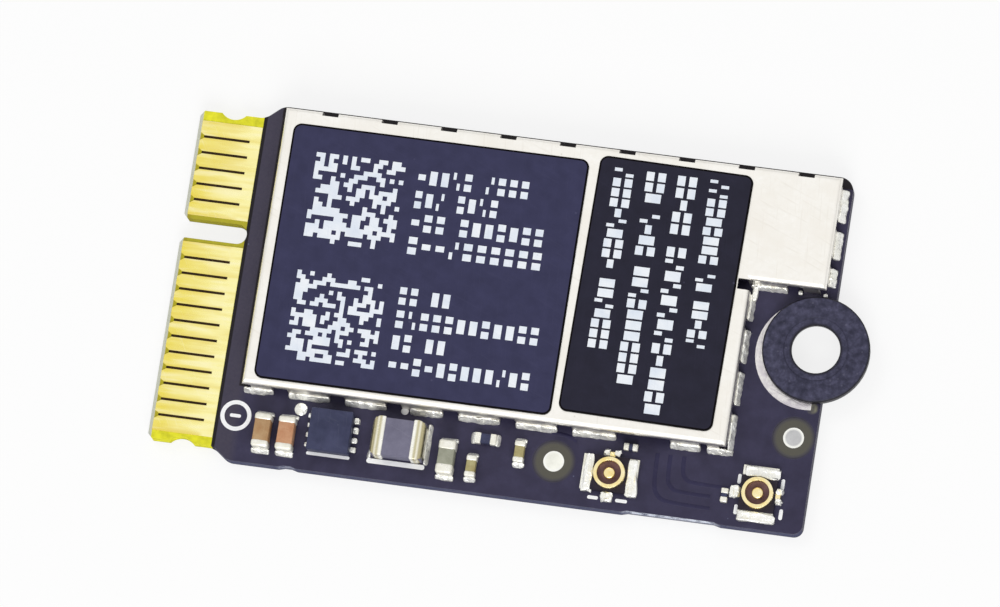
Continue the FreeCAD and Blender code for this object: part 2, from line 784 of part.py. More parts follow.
inner_length = f"{inner_start} - ({shield_right})"
inner_sizes = ("extension_gap", "joint_height", "joint_crest")
joints.append(solder_strip("inner_joint", shield_right, extension_low, 0, inner_length, *inner_sizes))
group("shield_solder_joints", joints)

# Two stickers on the shield; the right-hand one is stuck on a little askew.
for label, length, x, y, turn in (
    (
        "main_label",
        "main_label_length",
        f"{main_label_end} - main_label_length / 2",
        f"{shield_low} + label_margin_low + {label_width} / 2",
        "0",
    ),
    (
        "side_label",
        side_label_length,
        f"{side_label_start} + {side_label_length} / 2",
        f"{shield_low} + label_margin_low + side_label_lift + {label_width} / 2",
        "-side_label_skew",
    ),
):
    sticker = new_body(label, x, y)
    bind(sticker, {"Placement.Rotation.Angle": turn})
    sheet_plan = sketch(sticker, label + "_plan", shield_top)
    half = f"({length} / 2)"
    rectangle(sheet_plan, f"-{half}", half, f"-{label_width} / 2", f"{label_width} / 2")
    film = pad(sticker, sheet_plan, label + "_film", "label_thickness")
    round_corners(sticker, film, sheet_plan, range(4), label + "_corners", "label_radius")

# Antenna sockets: a tube on three feet, a centre pin with its tail, and the moulded base round both.
for label, x, y, turn in (
    ("antenna_socket_a", socket_a_x, socket_a_y, "0"),
    ("antenna_socket_b", socket_b_x, socket_b_y, "-socket_turn"),
):
    side = socket_half
    tube_radius = "(socket_tube / 2)"
    wall_middle = f"({tube_radius} - socket_tube_wall / 2)"
    shell = new_body(label + "_shell", x, y)
    bind(shell, {"Placement.Base.z": "board_thickness", "Placement.Rotation.Angle": turn})
    rim = sketch(shell, label + "_rim", "socket_floor")
    circle(rim, "0", "0", tube_radius)
    circle(rim, "0", "0", f"{tube_radius} - socket_tube_wall")
    pad(shell, rim, label + "_tube", "socket_height - socket_floor")
    necks = sketch(shell, label + "_neck_plan", "socket_floor")
    reach = f"({side} + socket_foot_reach / 2)"
    rectangle(necks, f"-{reach}", f"-{wall_middle}", "-socket_neck / 2", "socket_neck / 2")
    rectangle(necks, wall_middle, reach, "-socket_neck / 2", "socket_neck / 2")
    rectangle(necks, "-socket_nub / 2", "socket_nub / 2", wall_middle, f"{side} + socket_nub_reach / 2")
    pad(shell, necks, label + "_necks", "socket_foot_height - socket_floor")
    feet = sketch(shell, label + "_foot_plan")
    rectangle(feet, f"-{side} - socket_foot_reach", f"-{side}", f"-{side}", side)
    rectangle(feet, side, f"{side} + socket_foot_reach", f"-{side}", side)
    rectangle(feet, "-socket_nub / 2", "socket_nub / 2", side, f"{side} + socket_nub_reach")
    pad(shell, feet, label + "_feet", "socket_foot_height")

    pin = new_body(label + "_pin", x, y)
    bind(pin, {"Placement.Base.z": "board_thickness", "Placement.Rotation.Angle": turn})
    tail = sketch(pin, label + "_tail_plan")
    rectangle(tail, "-pin_tail_width / 2", "pin_tail_width / 2", f"-{side} - pin_tail_reach", "0")
    pad(pin, tail, label + "_tail", "pin_tail_height")
    post = sketch(pin, label + "_post_plan")
    circle(post, "0", "0", "pin_diameter / 2")
    upright = pad(pin, post, label + "_post", "pin_height")
    tip = pin.newObject("PartDesign::Fillet", label + "_tip")
    tip.Base = (upright, level_edges(upright.Shape, upright.Shape.BoundBox.ZMax))
    bind(tip, {"Radius": "pin_diameter / 6"})
    doc.recompute()

    corner = (f"{x} - {side} - {origin_x}", f"{y} - {side} - {origin_y}", "board_thickness")
    moulding = block(label + "_blank", *corner, "socket_base", "socket_base", "socket_base_height")
    around_shell = doc.addObject("Part::Cut", label + "_shell_seat")
    around_shell.Base = moulding
    around_shell.Tool = shell
    base = doc.addObject("Part::Cut", label + "_base")
    base.Base = around_shell
    base.Tool = pin
    node(base, label + "_base")

# Chip parts: a core whose two ends are wrapped in plated caps.
fillets = []


def chip(name, case, x, y, along, height="", band="", plating="plating", soldered=True):
    length, width = f"{case}_length", f"{case}_width"
    height = height or f"{case}_height"
    band = band or f"{case}_band"
    floor = "board_thickness"
    if along == "X":
        spans = (length, width)
        cap_spans = (band, width)
        far = (f"{x} + {length} / 2 - {band}", f"{y} - {width} / 2")
    else:
        spans = (width, length)
        cap_spans = (width, band)
        far = (f"{x} - {width} / 2", f"{y} + {length} / 2 - {band}")
    near = (f"{x} - {spans[0]} / 2", f"{y} - {spans[1]} / 2")
    core = block(
        name + "_core", f"{near[0]} + {plating}", f"{near[1]} + {plating}", f"{floor} + {plating}",
        f"{spans[0]} - 2 * {plating}", f"{spans[1]} - 2 * {plating}", f"{height} - 2 * {plating}",
    )
    ends = []
    for tag, spot in (("near", near), ("far", far)):
        whole = block(f"{name}_{tag}_block", *spot, floor, *cap_spans, height)
        cap = doc.addObject("Part::Cut", f"{name}_{tag}_cap")
        cap.Base = whole
        cap.Tool = core
        ends.append(cap)
    if soldered:
        strip_sizes = ("fillet_reach", "fillet_height", "fillet_crest")
        if along == "X":
            lower_end = (f"{x} - {length} / 2", f"{y} + {width} / 2", -90)
            upper_end = (f"{x} + {length} / 2", f"{y} - {width} / 2", 90)
        else:
            lower_end = (f"{x} - {width} / 2", f"{y} - {length} / 2", 0)
            upper_end = (f"{x} + {width} / 2", f"{y} + {length} / 2", 180)
        fillets.append(solder_strip(name + "_near_solder", *lower_end, width, *strip_sizes))
        fillets.append(solder_strip(name + "_far_solder", *upper_end, width, *strip_sizes))
    return core, ends


for label, case, x, y, along, height, band in (
    ("input_capacitor_one", "large", input_one_x, input_y, "Y", "", ""),
    ("input_capacitor_two", "large", input_two_x, input_y, "Y", "", ""),
    ("output_capacitor", "large", output_x, output_y, "Y", "", ""),
    ("bypass_capacitor_one", "small", bypass_x, bypass_y, "Y", "", ""),
    ("bypass_capacitor_two", "small", second_bypass_x, second_bypass_y, "Y", "", ""),
    ("feedback_resistor", "small", resistor_x, resistor_y, "X", "flat_height", "flat_band"),
    ("matching_part_one", "tiny", match_x, match_y, "X", "", ""),
    ("matching_part_two", "tiny", second_match_x, second_match_y, "Y", "", ""),
):
    core, ends = chip(label, case, x, y, along, height, band, soldered=case != "tiny")
    group(label + "_body", [core])
    group(label + "_ends", ends)
core, ends = chip("power_inductor", "coil", coil_x, coil_y, "X", plating="coil_plating")
group("power_inductor_body", [core])
group("power_inductor_ends", ends)
group("component_solder_joints", fillets)

half_side = "(regulator_side / 2)"
package = block(
    "regulator_package", f"{regulator_x} - {half_side}", f"{regulator_y} - {half_side}", "board_thickness",
    "regulator_side", "regulator_side", "regulator_height",
)
group("regulator_chip", [package])
leads = []
for place in range(int(read("lead_count"))):
    row = f"{regulator_y} + ({place} - (lead_count - 1) / 2) * lead_pitch - lead_width / 2"
    for tag, start in (
        ("left", f"{regulator_x} - {half_side} - lead_reach"),
        ("right", f"{regulator_x} + {half_side}"),
    ):
        corner = (start, row, "board_thickness")
        leads.append(block(f"lead_{tag}_{place + 1}", *corner, "lead_reach", "lead_width", "lead_height"))
group("regulator_leads", leads)

# Bare round pads: two alignment targets lying in their mask openings and one test point.
targets = new_body("fiducial_pads")
targets.AllowCompound = True
target_plan = sketch(targets, "target_plan", "board_thickness - mask_thickness")
circle(target_plan, fiducial_x, "fiducial_height", "fiducial_radius")
circle(target_plan, second_fiducial_x, second_fiducial_y, "fiducial_radius")
pad(targets, target_plan, "target_discs", "mask_thickness")
point = new_body("test_pad")
point_plan = sketch(point, "test_point_plan", "board_thickness")
circle(point_plan, test_pad_x, test_pad_y, "test_pad_radius")
pad(point, point_plan, "test_point_disc", "pad_thickness")


# Chips that work under the shield.
def package_on_board(label, x, y, length, width, height):
    corner = (f"{x} - {length} / 2", f"{y} - {width} / 2", "board_thickness")
    return group(label, [block(label + "_block", *corner, length, width, height)])


package_on_board("radio_chip", radio_x, shield_middle, "radio_side", "radio_side", "radio_height")
package_on_board(
    "bluetooth_chip", bluetooth_x, bluetooth_y, "bluetooth_side", "bluetooth_side", "bluetooth_height")
for label, step in (("front_end_low", "-front_end_spread"), ("front_end_high", "+front_end_spread")):
    y = f"({shield_middle} {step})"
    package_on_board(label, front_end_x, y, "front_end_side", "front_end_side", "front_end_height")
package_on_board("memory_chip", memory_x, memory_y, "memory_length", "memory_width", "memory_height")
filter_sizes = ("filter_length", "filter_width", "filter_height")
package_on_board("band_filter_one", end_filter_x, end_filter_y, *filter_sizes)
package_on_board("band_filter_two", filter_x, shield_middle, "filter_width", "filter_length", "filter_height")
package_on_board(
    "crystal_base", crystal_x, crystal_y, "crystal_length", "crystal_width", "crystal_base_height")
lid = block(
    "crystal_lid_block",
    f"{crystal_x} - crystal_length / 2 + crystal_lid_inset",
    f"{crystal_y} - crystal_width / 2 + crystal_lid_inset",
    "board_thickness + crystal_base_height",
    "crystal_length - 2 * crystal_lid_inset",
    "crystal_width - 2 * crystal_lid_inset",
    "crystal_lid_height",
)
group("crystal_lid", [lid])

cores = []
caps = []
beside = "(radio_side / 2 + decoupling_clearance)"
for place in range(int(read("decoupling_count"))):
    along_side = f"({place} - (decoupling_count - 1) / 2) * decoupling_pitch"
    for tag, x, y, along in (
        ("left", f"({radio_x} - {beside})", f"({shield_middle} + {along_side})", "Y"),
        ("right", f"({radio_x} + {beside})", f"({shield_middle} + {along_side})", "Y"),
        ("upper", f"({radio_x} + {along_side})", f"({shield_middle} + {beside})", "X"),
    ):
        core, ends = chip(f"decoupling_{tag}_{place + 1}", "small", x, y, along, soldered=False)
        cores.append(core)
        caps.extend(ends)
group("decoupling_bodies", cores)
group("decoupling_ends", caps)

doc.recompute()
for item in doc.Objects:
    troubles = [word for word in item.State if word in ("Invalid", "Error")]
    if troubles:
        raise RuntimeError(f"{item.Label}: {troubles}")
for item in nodes:
    if item.Shape.isNull() or not item.Shape.isValid() or not item.Shape.Solids:
        raise RuntimeError(f"{item.Label}: shape is not sound")
    item.Shape.exportStep(f"parts/{item.Label}.step")
print(len(nodes), "nodes written")
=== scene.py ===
import json
import math
import random

import bmesh
import bpy
from mathutils import Matrix, Vector


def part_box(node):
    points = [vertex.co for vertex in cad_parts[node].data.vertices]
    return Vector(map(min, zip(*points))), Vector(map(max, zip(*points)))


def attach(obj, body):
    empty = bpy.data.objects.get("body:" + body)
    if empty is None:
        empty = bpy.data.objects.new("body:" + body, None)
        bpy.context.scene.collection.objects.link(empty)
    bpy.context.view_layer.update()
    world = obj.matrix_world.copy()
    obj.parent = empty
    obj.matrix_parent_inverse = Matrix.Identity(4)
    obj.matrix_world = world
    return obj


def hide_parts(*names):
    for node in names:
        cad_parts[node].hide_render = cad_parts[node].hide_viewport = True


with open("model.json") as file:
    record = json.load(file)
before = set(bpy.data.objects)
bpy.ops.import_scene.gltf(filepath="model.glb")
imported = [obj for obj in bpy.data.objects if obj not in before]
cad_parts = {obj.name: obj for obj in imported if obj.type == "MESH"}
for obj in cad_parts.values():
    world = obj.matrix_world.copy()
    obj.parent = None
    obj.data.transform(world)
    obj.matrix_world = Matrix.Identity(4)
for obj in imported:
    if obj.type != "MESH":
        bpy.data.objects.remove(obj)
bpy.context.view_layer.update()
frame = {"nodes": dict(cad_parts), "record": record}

mm = 0.001
mergeReach = 0.0005 * mm  # corners of loose triangles closer than this are one corner
nodes = frame["nodes"]
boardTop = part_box("test_pad")[0].z
beadShade, roundShade = 80, 50  # degrees up to which shading runs on over an edge
turnedEdge = 40  # degrees from which the edges of a turned piece are softened
print("frame loaded,", len(nodes), "nodes")


# hand tools

def deselectAll():
    if bpy.context.object and bpy.context.object.mode != "OBJECT":
        bpy.ops.object.mode_set(mode="OBJECT")
    bpy.ops.object.select_all(action="DESELECT")


def pick(piece):
    deselectAll()
    piece.select_set(True)
    bpy.context.view_layer.objects.active = piece


def openMesh(piece, kind):  # edit mode with nothing selected
    pick(piece)
    bpy.ops.object.mode_set(mode="EDIT")
    bpy.ops.mesh.select_mode(type=kind)
    bpy.ops.mesh.select_all(action="DESELECT")
    return bmesh.from_edit_mesh(piece.data)


def closeMesh():
    bpy.ops.object.mode_set(mode="OBJECT")


def choose(piece, kind, wanted):  # edit mode with the wanted faces, edges or corners selected
    mesh = openMesh(piece, kind)
    for part in {"FACE": mesh.faces, "EDGE": mesh.edges, "VERT": mesh.verts}[kind]:
        if wanted(part):
            part.select_set(True)
    bmesh.update_edit_mesh(piece.data)


def pickFaces(piece, wanted):  # by middle and normal
    choose(piece, "FACE", lambda face: wanted(face.calc_center_median(), face.normal))


def pickEdges(piece, wanted):  # by the two ends
    choose(piece, "EDGE", lambda edge: wanted(edge.verts[0].co, edge.verts[1].co))


def pickCorners(piece, wanted):
    choose(piece, "VERT", lambda corner: wanted(corner.co))


def dropFaces(piece, wanted):
    pickFaces(piece, wanted)
    bpy.ops.mesh.delete(type="FACE")
    closeMesh()


def bevelEdges(piece, wanted, width, segments):
    pickEdges(piece, wanted)
    bpy.ops.mesh.bevel(offset=width, segments=segments, affect="EDGES")
    closeMesh()


def shiftCorners(piece, wanted, shift):
    pickCorners(piece, wanted)
    bpy.ops.transform.translate(value=shift)
    closeMesh()


def stretchCorners(piece, wanted, scale, middle):
    pickCorners(piece, wanted)
    bpy.ops.transform.resize(value=scale, center_override=middle)
    closeMesh()


def applyTransform(piece):
    pick(piece)
    bpy.ops.object.transform_apply(location=True, rotation=True, scale=True)


def applyModifier(piece, kind, **settings):
    pick(piece)
    modifier = piece.modifiers.new(kind.lower(), kind)
    for name, value in settings.items():
        setattr(modifier, name, value)
    bpy.ops.object.modifier_apply(modifier=modifier.name)


def thicken(piece, height):
    applyModifier(piece, "SOLIDIFY", thickness=height * mm, offset=1.0)


def smooth(piece, levels):
    applyModifier(piece, "SUBSURF", levels=levels, render_levels=levels)


def addBox(name, low, high):  # corners in metres
    deselectAll()
    low, high = Vector(low), Vector(high)
    bpy.ops.mesh.primitive_cube_add(size=1, location=(low + high) / 2)
    piece = bpy.context.object
    piece.name = name
    piece.scale = high - low
    applyTransform(piece)
    return piece


def addPlate(left, right, low, high, height):  # a box that stands on the board, in millimetres
    return addBox("plate", (left * mm, low * mm, boardTop), (right * mm, high * mm, boardTop + height * mm))


def addDisc(middle, radius, sides):  # on the board, in metres
    deselectAll()
    bpy.ops.mesh.primitive_circle_add(
        vertices=sides, radius=radius, fill_type="NGON", location=(middle[0], middle[1], boardTop))
    disc = bpy.context.object
    applyTransform(disc)
    return disc


def roundEdges(piece, width, segments=2, angle=35):
    applyModifier(
        piece, "BEVEL", width=width, segments=segments, limit_method="ANGLE",
        angle_limit=math.radians(angle), use_clamp_overlap=True)


def roundUprights(piece, width, segments=4):  # rounds a box's corners as seen from above
    bevelEdges(piece, lambda a, b: (a - b).xy.length < mergeReach, width, segments)


def copyOfNode(node, name):  # a node's mesh as one closed skin that can be worked on
    deselectAll()
    piece = bpy.data.objects.new(name, nodes[node].data.copy())
    bpy.context.scene.collection.objects.link(piece)
    pick(piece)
    bpy.ops.mesh.customdata_custom_splitnormals_clear()
    openMesh(piece, "VERT")
    bpy.ops.mesh.select_all(action="SELECT")
    bpy.ops.mesh.remove_doubles(threshold=mergeReach)
    bpy.ops.mesh.dissolve_limited(angle_limit=math.radians(1))  # only flat neighbours become one face
    closeMesh()
    return piece


def copyPiece(piece, name):
    made = piece.copy()
    made.data = piece.data.copy()
    made.name = name
    bpy.context.scene.collection.objects.link(made)
    return made


def joinPieces(parts, name):
    for part in parts:
        applyTransform(part)
    deselectAll()
    for part in parts:
        part.select_set(True)
    bpy.context.view_layer.objects.active = parts[0]
    if len(parts) > 1:
        bpy.ops.object.join()
    parts[0].name = name
    return parts[0]


def wear(piece, *names):  # gives a piece its finishes
    piece.data.materials.clear()
    for name in names:
        piece.data.materials.append(finishes[name])


def settle(piece, finish, node=None, angle=35):  # last step of every piece
    applyTransform(piece)
    bpy.ops.object.shade_smooth_by_angle(angle=math.radians(angle))
    if finish:
        wear(piece, finish)
    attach(piece, "root")
    if node:
        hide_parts(node)


def boxesOf(node):  # lowest and highest corners of each separate solid in a node
    mesh = bmesh.new()
    mesh.from_mesh(nodes[node].data)
    bmesh.ops.remove_doubles(mesh, verts=mesh.verts, dist=mergeReach)
    mesh.verts.ensure_lookup_table()
    seen = set()
    found = []
    for start in mesh.verts:
        if start.index in seen:
            continue
        seen.add(start.index)
        corners, queue = [], [start]
        while queue:
            corner = queue.pop()
            corners.append(corner.co.copy())
            for edge in corner.link_edges:
                other = edge.other_vert(corner)
                if other.index not in seen:
                    seen.add(other.index)
                    queue.append(other)
        found.append(tuple(
            Vector([side(corner[axis] for corner in corners) for axis in range(3)]) for side in (min, max)))
    mesh.free()
    return found


def middleOf(box):
    return (box[0] + box[1]) / 2


def meltSolder(piece, cuts, jitter, seed, levels=2):  # cold edges become one soft uneven bead
    openMesh(piece, "FACE")
    bpy.ops.mesh.select_all(action="SELECT")
    bpy.ops.mesh.subdivide(number_cuts=cuts)
    bpy.ops.transform.vertex_random(offset=jitter * mm, seed=seed)
    closeMesh()
    smooth(piece, levels)


# node tools

def feed(tree, socket, value):
    if isinstance(value, bpy.types.NodeSocket):
        tree.links.new(value, socket)
    else:
        socket.default_value = value


def addNode(tree, kind, inputs, **settings):
    made = tree.nodes.new(kind)
    for name, value in settings.items():
        setattr(made, name, value)
    for name, value in inputs.items():
        feed(tree, made.inputs[name], value)
    return made


def maths(tree, operation, first, second=0.0, third=0.0):
    return addNode(tree, "ShaderNodeMath", {0: first, 1: second, 2: third}, operation=operation).outputs[0]


def times(tree, first, *others):
    for other in others:
        first = maths(tree, "MULTIPLY", first, other)
    return first


def addShare(tree, base, value, share):  # base plus value times share
    return maths(tree, "MULTIPLY_ADD", value, share, base)


def vectorMaths(tree, operation, first, second=(0.0, 0.0, 0.0)):
    return addNode(tree, "ShaderNodeVectorMath", {0: first, 1: second}, operation=operation).outputs


def span(tree, value, low, high, toLow=0.0, toHigh=1.0):  # stretches low..high to toLow..toHigh
    limits = {"Value": value, "From Min": low, "From Max": high, "To Min": toLow, "To Max": toHigh}
    return addNode(tree, "ShaderNodeMapRange", limits, clamp=True).outputs[0]


def past(tree, axis, start, soft):  # 0 up to start, then rising to 1; a negative soft looks the other way
    return span(tree, axis, start * mm, (start + soft) * mm)


def between(tree, axis, low, high, soft):
    return times(tree, past(tree, axis, low, soft), past(tree, axis, high, -soft))


def noiseAt(tree, place, scale, detail):
    return addNode(tree, "ShaderNodeTexNoise", {"Vector": place, "Scale": scale, "Detail": detail}).outputs[0]


def colour(red, green, blue):  # a screen colour, 0 to 255, as the shader's linear one
    parts = []
    for value in (red, green, blue):
        share = value / 255
        parts.append(share / 12.92 if share <= 0.04045 else ((share + 0.055) / 1.055) ** 2.4)
    return (*parts, 1.0)


def tint(tree, share, first, second):  # first colour where share is 0, second where it is 1
    return addNode(tree, "ShaderNodeMix", {0: share, 6: first, 7: second}, data_type="RGBA").outputs[2]


def twoTones(tree, share, first, second):
    return tint(tree, share, colour(*first), colour(*second))


def lay(tree, base, tone, *shares):  # a screen colour over the base, where all the shares are
    return tint(tree, times(tree, *shares), base, colour(*tone))


# shared effects

def newGroup(name, inputs, outputs):  # an input with no value is a place
    group = bpy.data.node_groups.new(name, "ShaderNodeTree")
    for label, value in inputs.items():
        kind = "NodeSocketVector" if value is None else "NodeSocketFloat"
        socket = group.interface.new_socket(label, in_out="INPUT", socket_type=kind)
        if value is not None:
            socket.default_value = value
    for label in outputs:
        group.interface.new_socket(label, in_out="OUTPUT", socket_type="NodeSocketFloat")
    return group, group.nodes.new("NodeGroupInput").outputs, group.nodes.new("NodeGroupOutput").inputs


grainSteps = {"range": (0.3, 0.7), "kinds": (("Patches", "Patch", 4.0), ("Teeth", "Tooth", 2.0))}


def makeGrainGroup(steps):  # broad patches and fine tooth, both 0 to 1
    group, given, wanted = newGroup(
        "surfaceGrain", {"Vector": None, "Patch": 1000.0, "Tooth": 20000.0}, ["Patches", "Teeth"])
    for label, scale, detail in steps["kinds"]:
        noise = noiseAt(group, given["Vector"], given[scale], detail)
        group.links.new(span(group, noise, *steps["range"]), wanted[label])
    return group


scuffSteps = {"range": (0.6, 0.7), "detail": 3.0, "lines": ((0.0, 14.0), (1.1, 22.0))}  # turn and stretch of each set


def makeScuffGroup(steps):  # thin straight hairlines that come and go
    group, given, wanted = newGroup("hairScuffs", {"Vector": None, "Turn": 0.0, "Density": 700.0}, ["Scuffs"])
    lines = []
    for extra, stretch in steps["lines"]:
        turn = maths(group, "ADD", given["Turn"], extra)
        turned = addNode(
            group, "ShaderNodeVectorRotate", {"Vector": given["Vector"], "Angle": turn}, rotation_type="Z_AXIS")
        drawn = vectorMaths(group, "MULTIPLY", turned.outputs[0], (1.0, stretch, 1.0))[0]
        lines.append(span(group, noiseAt(group, drawn, given["Density"], steps["detail"]), *steps["range"]))
    group.links.new(maths(group, "MAXIMUM", *lines), wanted["Scuffs"])
    return group


speckSteps = {"core": 0.5, "rarity": 0.6}


def makeSpeckGroup(steps):  # sparse specks of dust or pinholes
    group, given, wanted = newGroup("sparseSpecks", {"Vector": None, "Density": 1200.0, "Size": 0.12}, ["Specks"])
    cells = addNode(group, "ShaderNodeTexVoronoi", {"Vector": given["Vector"], "Scale": given["Density"]}).outputs
    core = times(group, given["Size"], steps["core"])
    near = span(group, cells["Distance"], core, given["Size"], 1.0, 0.0)
    chance = addNode(group, "ShaderNodeSeparateColor", {0: cells["Color"]}).outputs[0]
    kept = maths(group, "GREATER_THAN", chance, steps["rarity"])
    group.links.new(times(group, near, kept), wanted["Specks"])
    return group


def makeRoundGroup():  # 1 inside a round spot seen from above, 0 outside, and the distance from its middle
    group, given, wanted = newGroup(
        "roundSpot", {"Vector": None, "Middle": None, "Radius": 0.001, "Soft": 0.00002}, ["Inside", "Distance"])
    apart = vectorMaths(group, "SUBTRACT", given["Vector"], given["Middle"])[0]
    flat = vectorMaths(group, "MULTIPLY", apart, (1.0, 1.0, 0.0))[0]
    distance = vectorMaths(group, "LENGTH", flat)["Value"]
    rim = maths(group, "ADD", given["Radius"], given["Soft"])
    group.links.new(span(group, distance, given["Radius"], rim, 1.0, 0.0), wanted["Inside"])
    group.links.new(distance, wanted["Distance"])
    return group


grainGroup = makeGrainGroup(grainSteps)
scuffGroup = makeScuffGroup(scuffSteps)
speckGroup = makeSpeckGroup(speckSteps)
roundGroup = makeRoundGroup()


def useGroup(tree, group, inputs):
    made = tree.nodes.new("ShaderNodeGroup")
    made.node_tree = group
    for name, value in inputs.items():
        feed(tree, made.inputs[name], value)
    return list(made.outputs)


def grainAt(tree, place, patch, tooth):  # both per millimetre
    return useGroup(tree, grainGroup, {"Vector": place, "Patch": patch / mm, "Tooth": tooth / mm})


def scuffsAt(tree, place, turn, density):
    return useGroup(tree, scuffGroup, {"Vector": place, "Turn": turn, "Density": density / mm})[0]


def specksAt(tree, place, density, size):
    return useGroup(tree, speckGroup, {"Vector": place, "Density": density / mm, "Size": size})[0]


def spotAt(tree, place, middle, radius, soft=0.02):  # radius and soft rim in millimetres
    return useGroup(
        tree, roundGroup, {"Vector": place, "Middle": middle, "Radius": radius * mm, "Soft": soft * mm})


print("shared effects ready")


# finishes

finishes = {}
ports = {
    mount["name"][-1]: Vector(mount["pos_m"]) for mount in frame["record"]["mounts"] if "antenna" in mount["name"]}
targets = sorted(boxesOf("fiducial_pads"), key=lambda box: box[0].x)


def startFinish(name, grain):  # a material's tree with its shader, the place on the card and the grain there
    material = bpy.data.materials.new(name)
    finishes[name] = material
    material.use_nodes = True
    tree = material.node_tree
    tree.nodes.clear()
    surface = tree.nodes.new("ShaderNodeBsdfPrincipled")
    surface.name = "surface"
    output = tree.nodes.new("ShaderNodeOutputMaterial")
    tree.links.new(surface.outputs[0], output.inputs["Surface"])
    place = tree.nodes.new("ShaderNodeTexCoord").outputs["Object"]  # in metres
    return tree, place, *grainAt(tree, place, *grain)


def endFinish(tree, look, base, rough, height):
    sockets = tree.nodes["surface"].inputs
    bump = addNode(tree, "ShaderNodeBump", {"Strength": 1.0, "Distance": look["bump"] * mm, "Height": height})
    for name, value in (
        ("Base Color", base), ("Roughness", rough), ("Normal", bump.outputs[0]), ("Metallic", look.get("metal", 0.0)),
        ("Specular IOR Level", look.get("shine", 0.5)),
    ):
        feed(tree, sockets[name], value)


def roughOf(tree, look, patches):
    return span(tree, patches, 0.0, 1.0, *look["rough"])


def axesOf(tree, place):
    return addNode(tree, "ShaderNodeSeparateXYZ", {0: place}).outputs


plainLook = {  # what a plain finish has unless its own look says otherwise
    "turn": 0.4, "density": 0.7, "scuffShare": 0.2, "scuffRough": 0.2, "scuffDepth": 0.6, "specks": 1.5,
    "speckSize": 0.1, "speckShare": 0.25, "mottle": 0.2, "wave": 1.0, "shine": 0.35}
ceramicLook = {"patch": 2.0, "tooth": 14.0, "rough": (0.42, 0.56), "bump": 0.008, "shine": 0.3}
inkLook = {
    "tone": (248, 251, 255), "second": (226, 234, 246), "worn": (210, 218, 234), "patch": 1.2, "tooth": 12.0,
    "rough": (0.5, 0.65), "bump": 0.003, "shine": 0.2, "speckTone": (170, 176, 194), "speckShare": 0.4,
    "specks": 3.0}
filmLook = {
    "tone": (56, 56, 87), "second": (49, 49, 77), "worn": (68, 68, 96), "patch": 1.4, "tooth": 6.0,
    "rough": (0.46, 0.54), "bump": 0.0016, "wave": 0.4, "shine": 0.2, "scuffShare": 0.15, "speckTone": (92, 92, 120),
    "speckShare": 0.3, "specks": 0.9, "speckSize": 0.06}
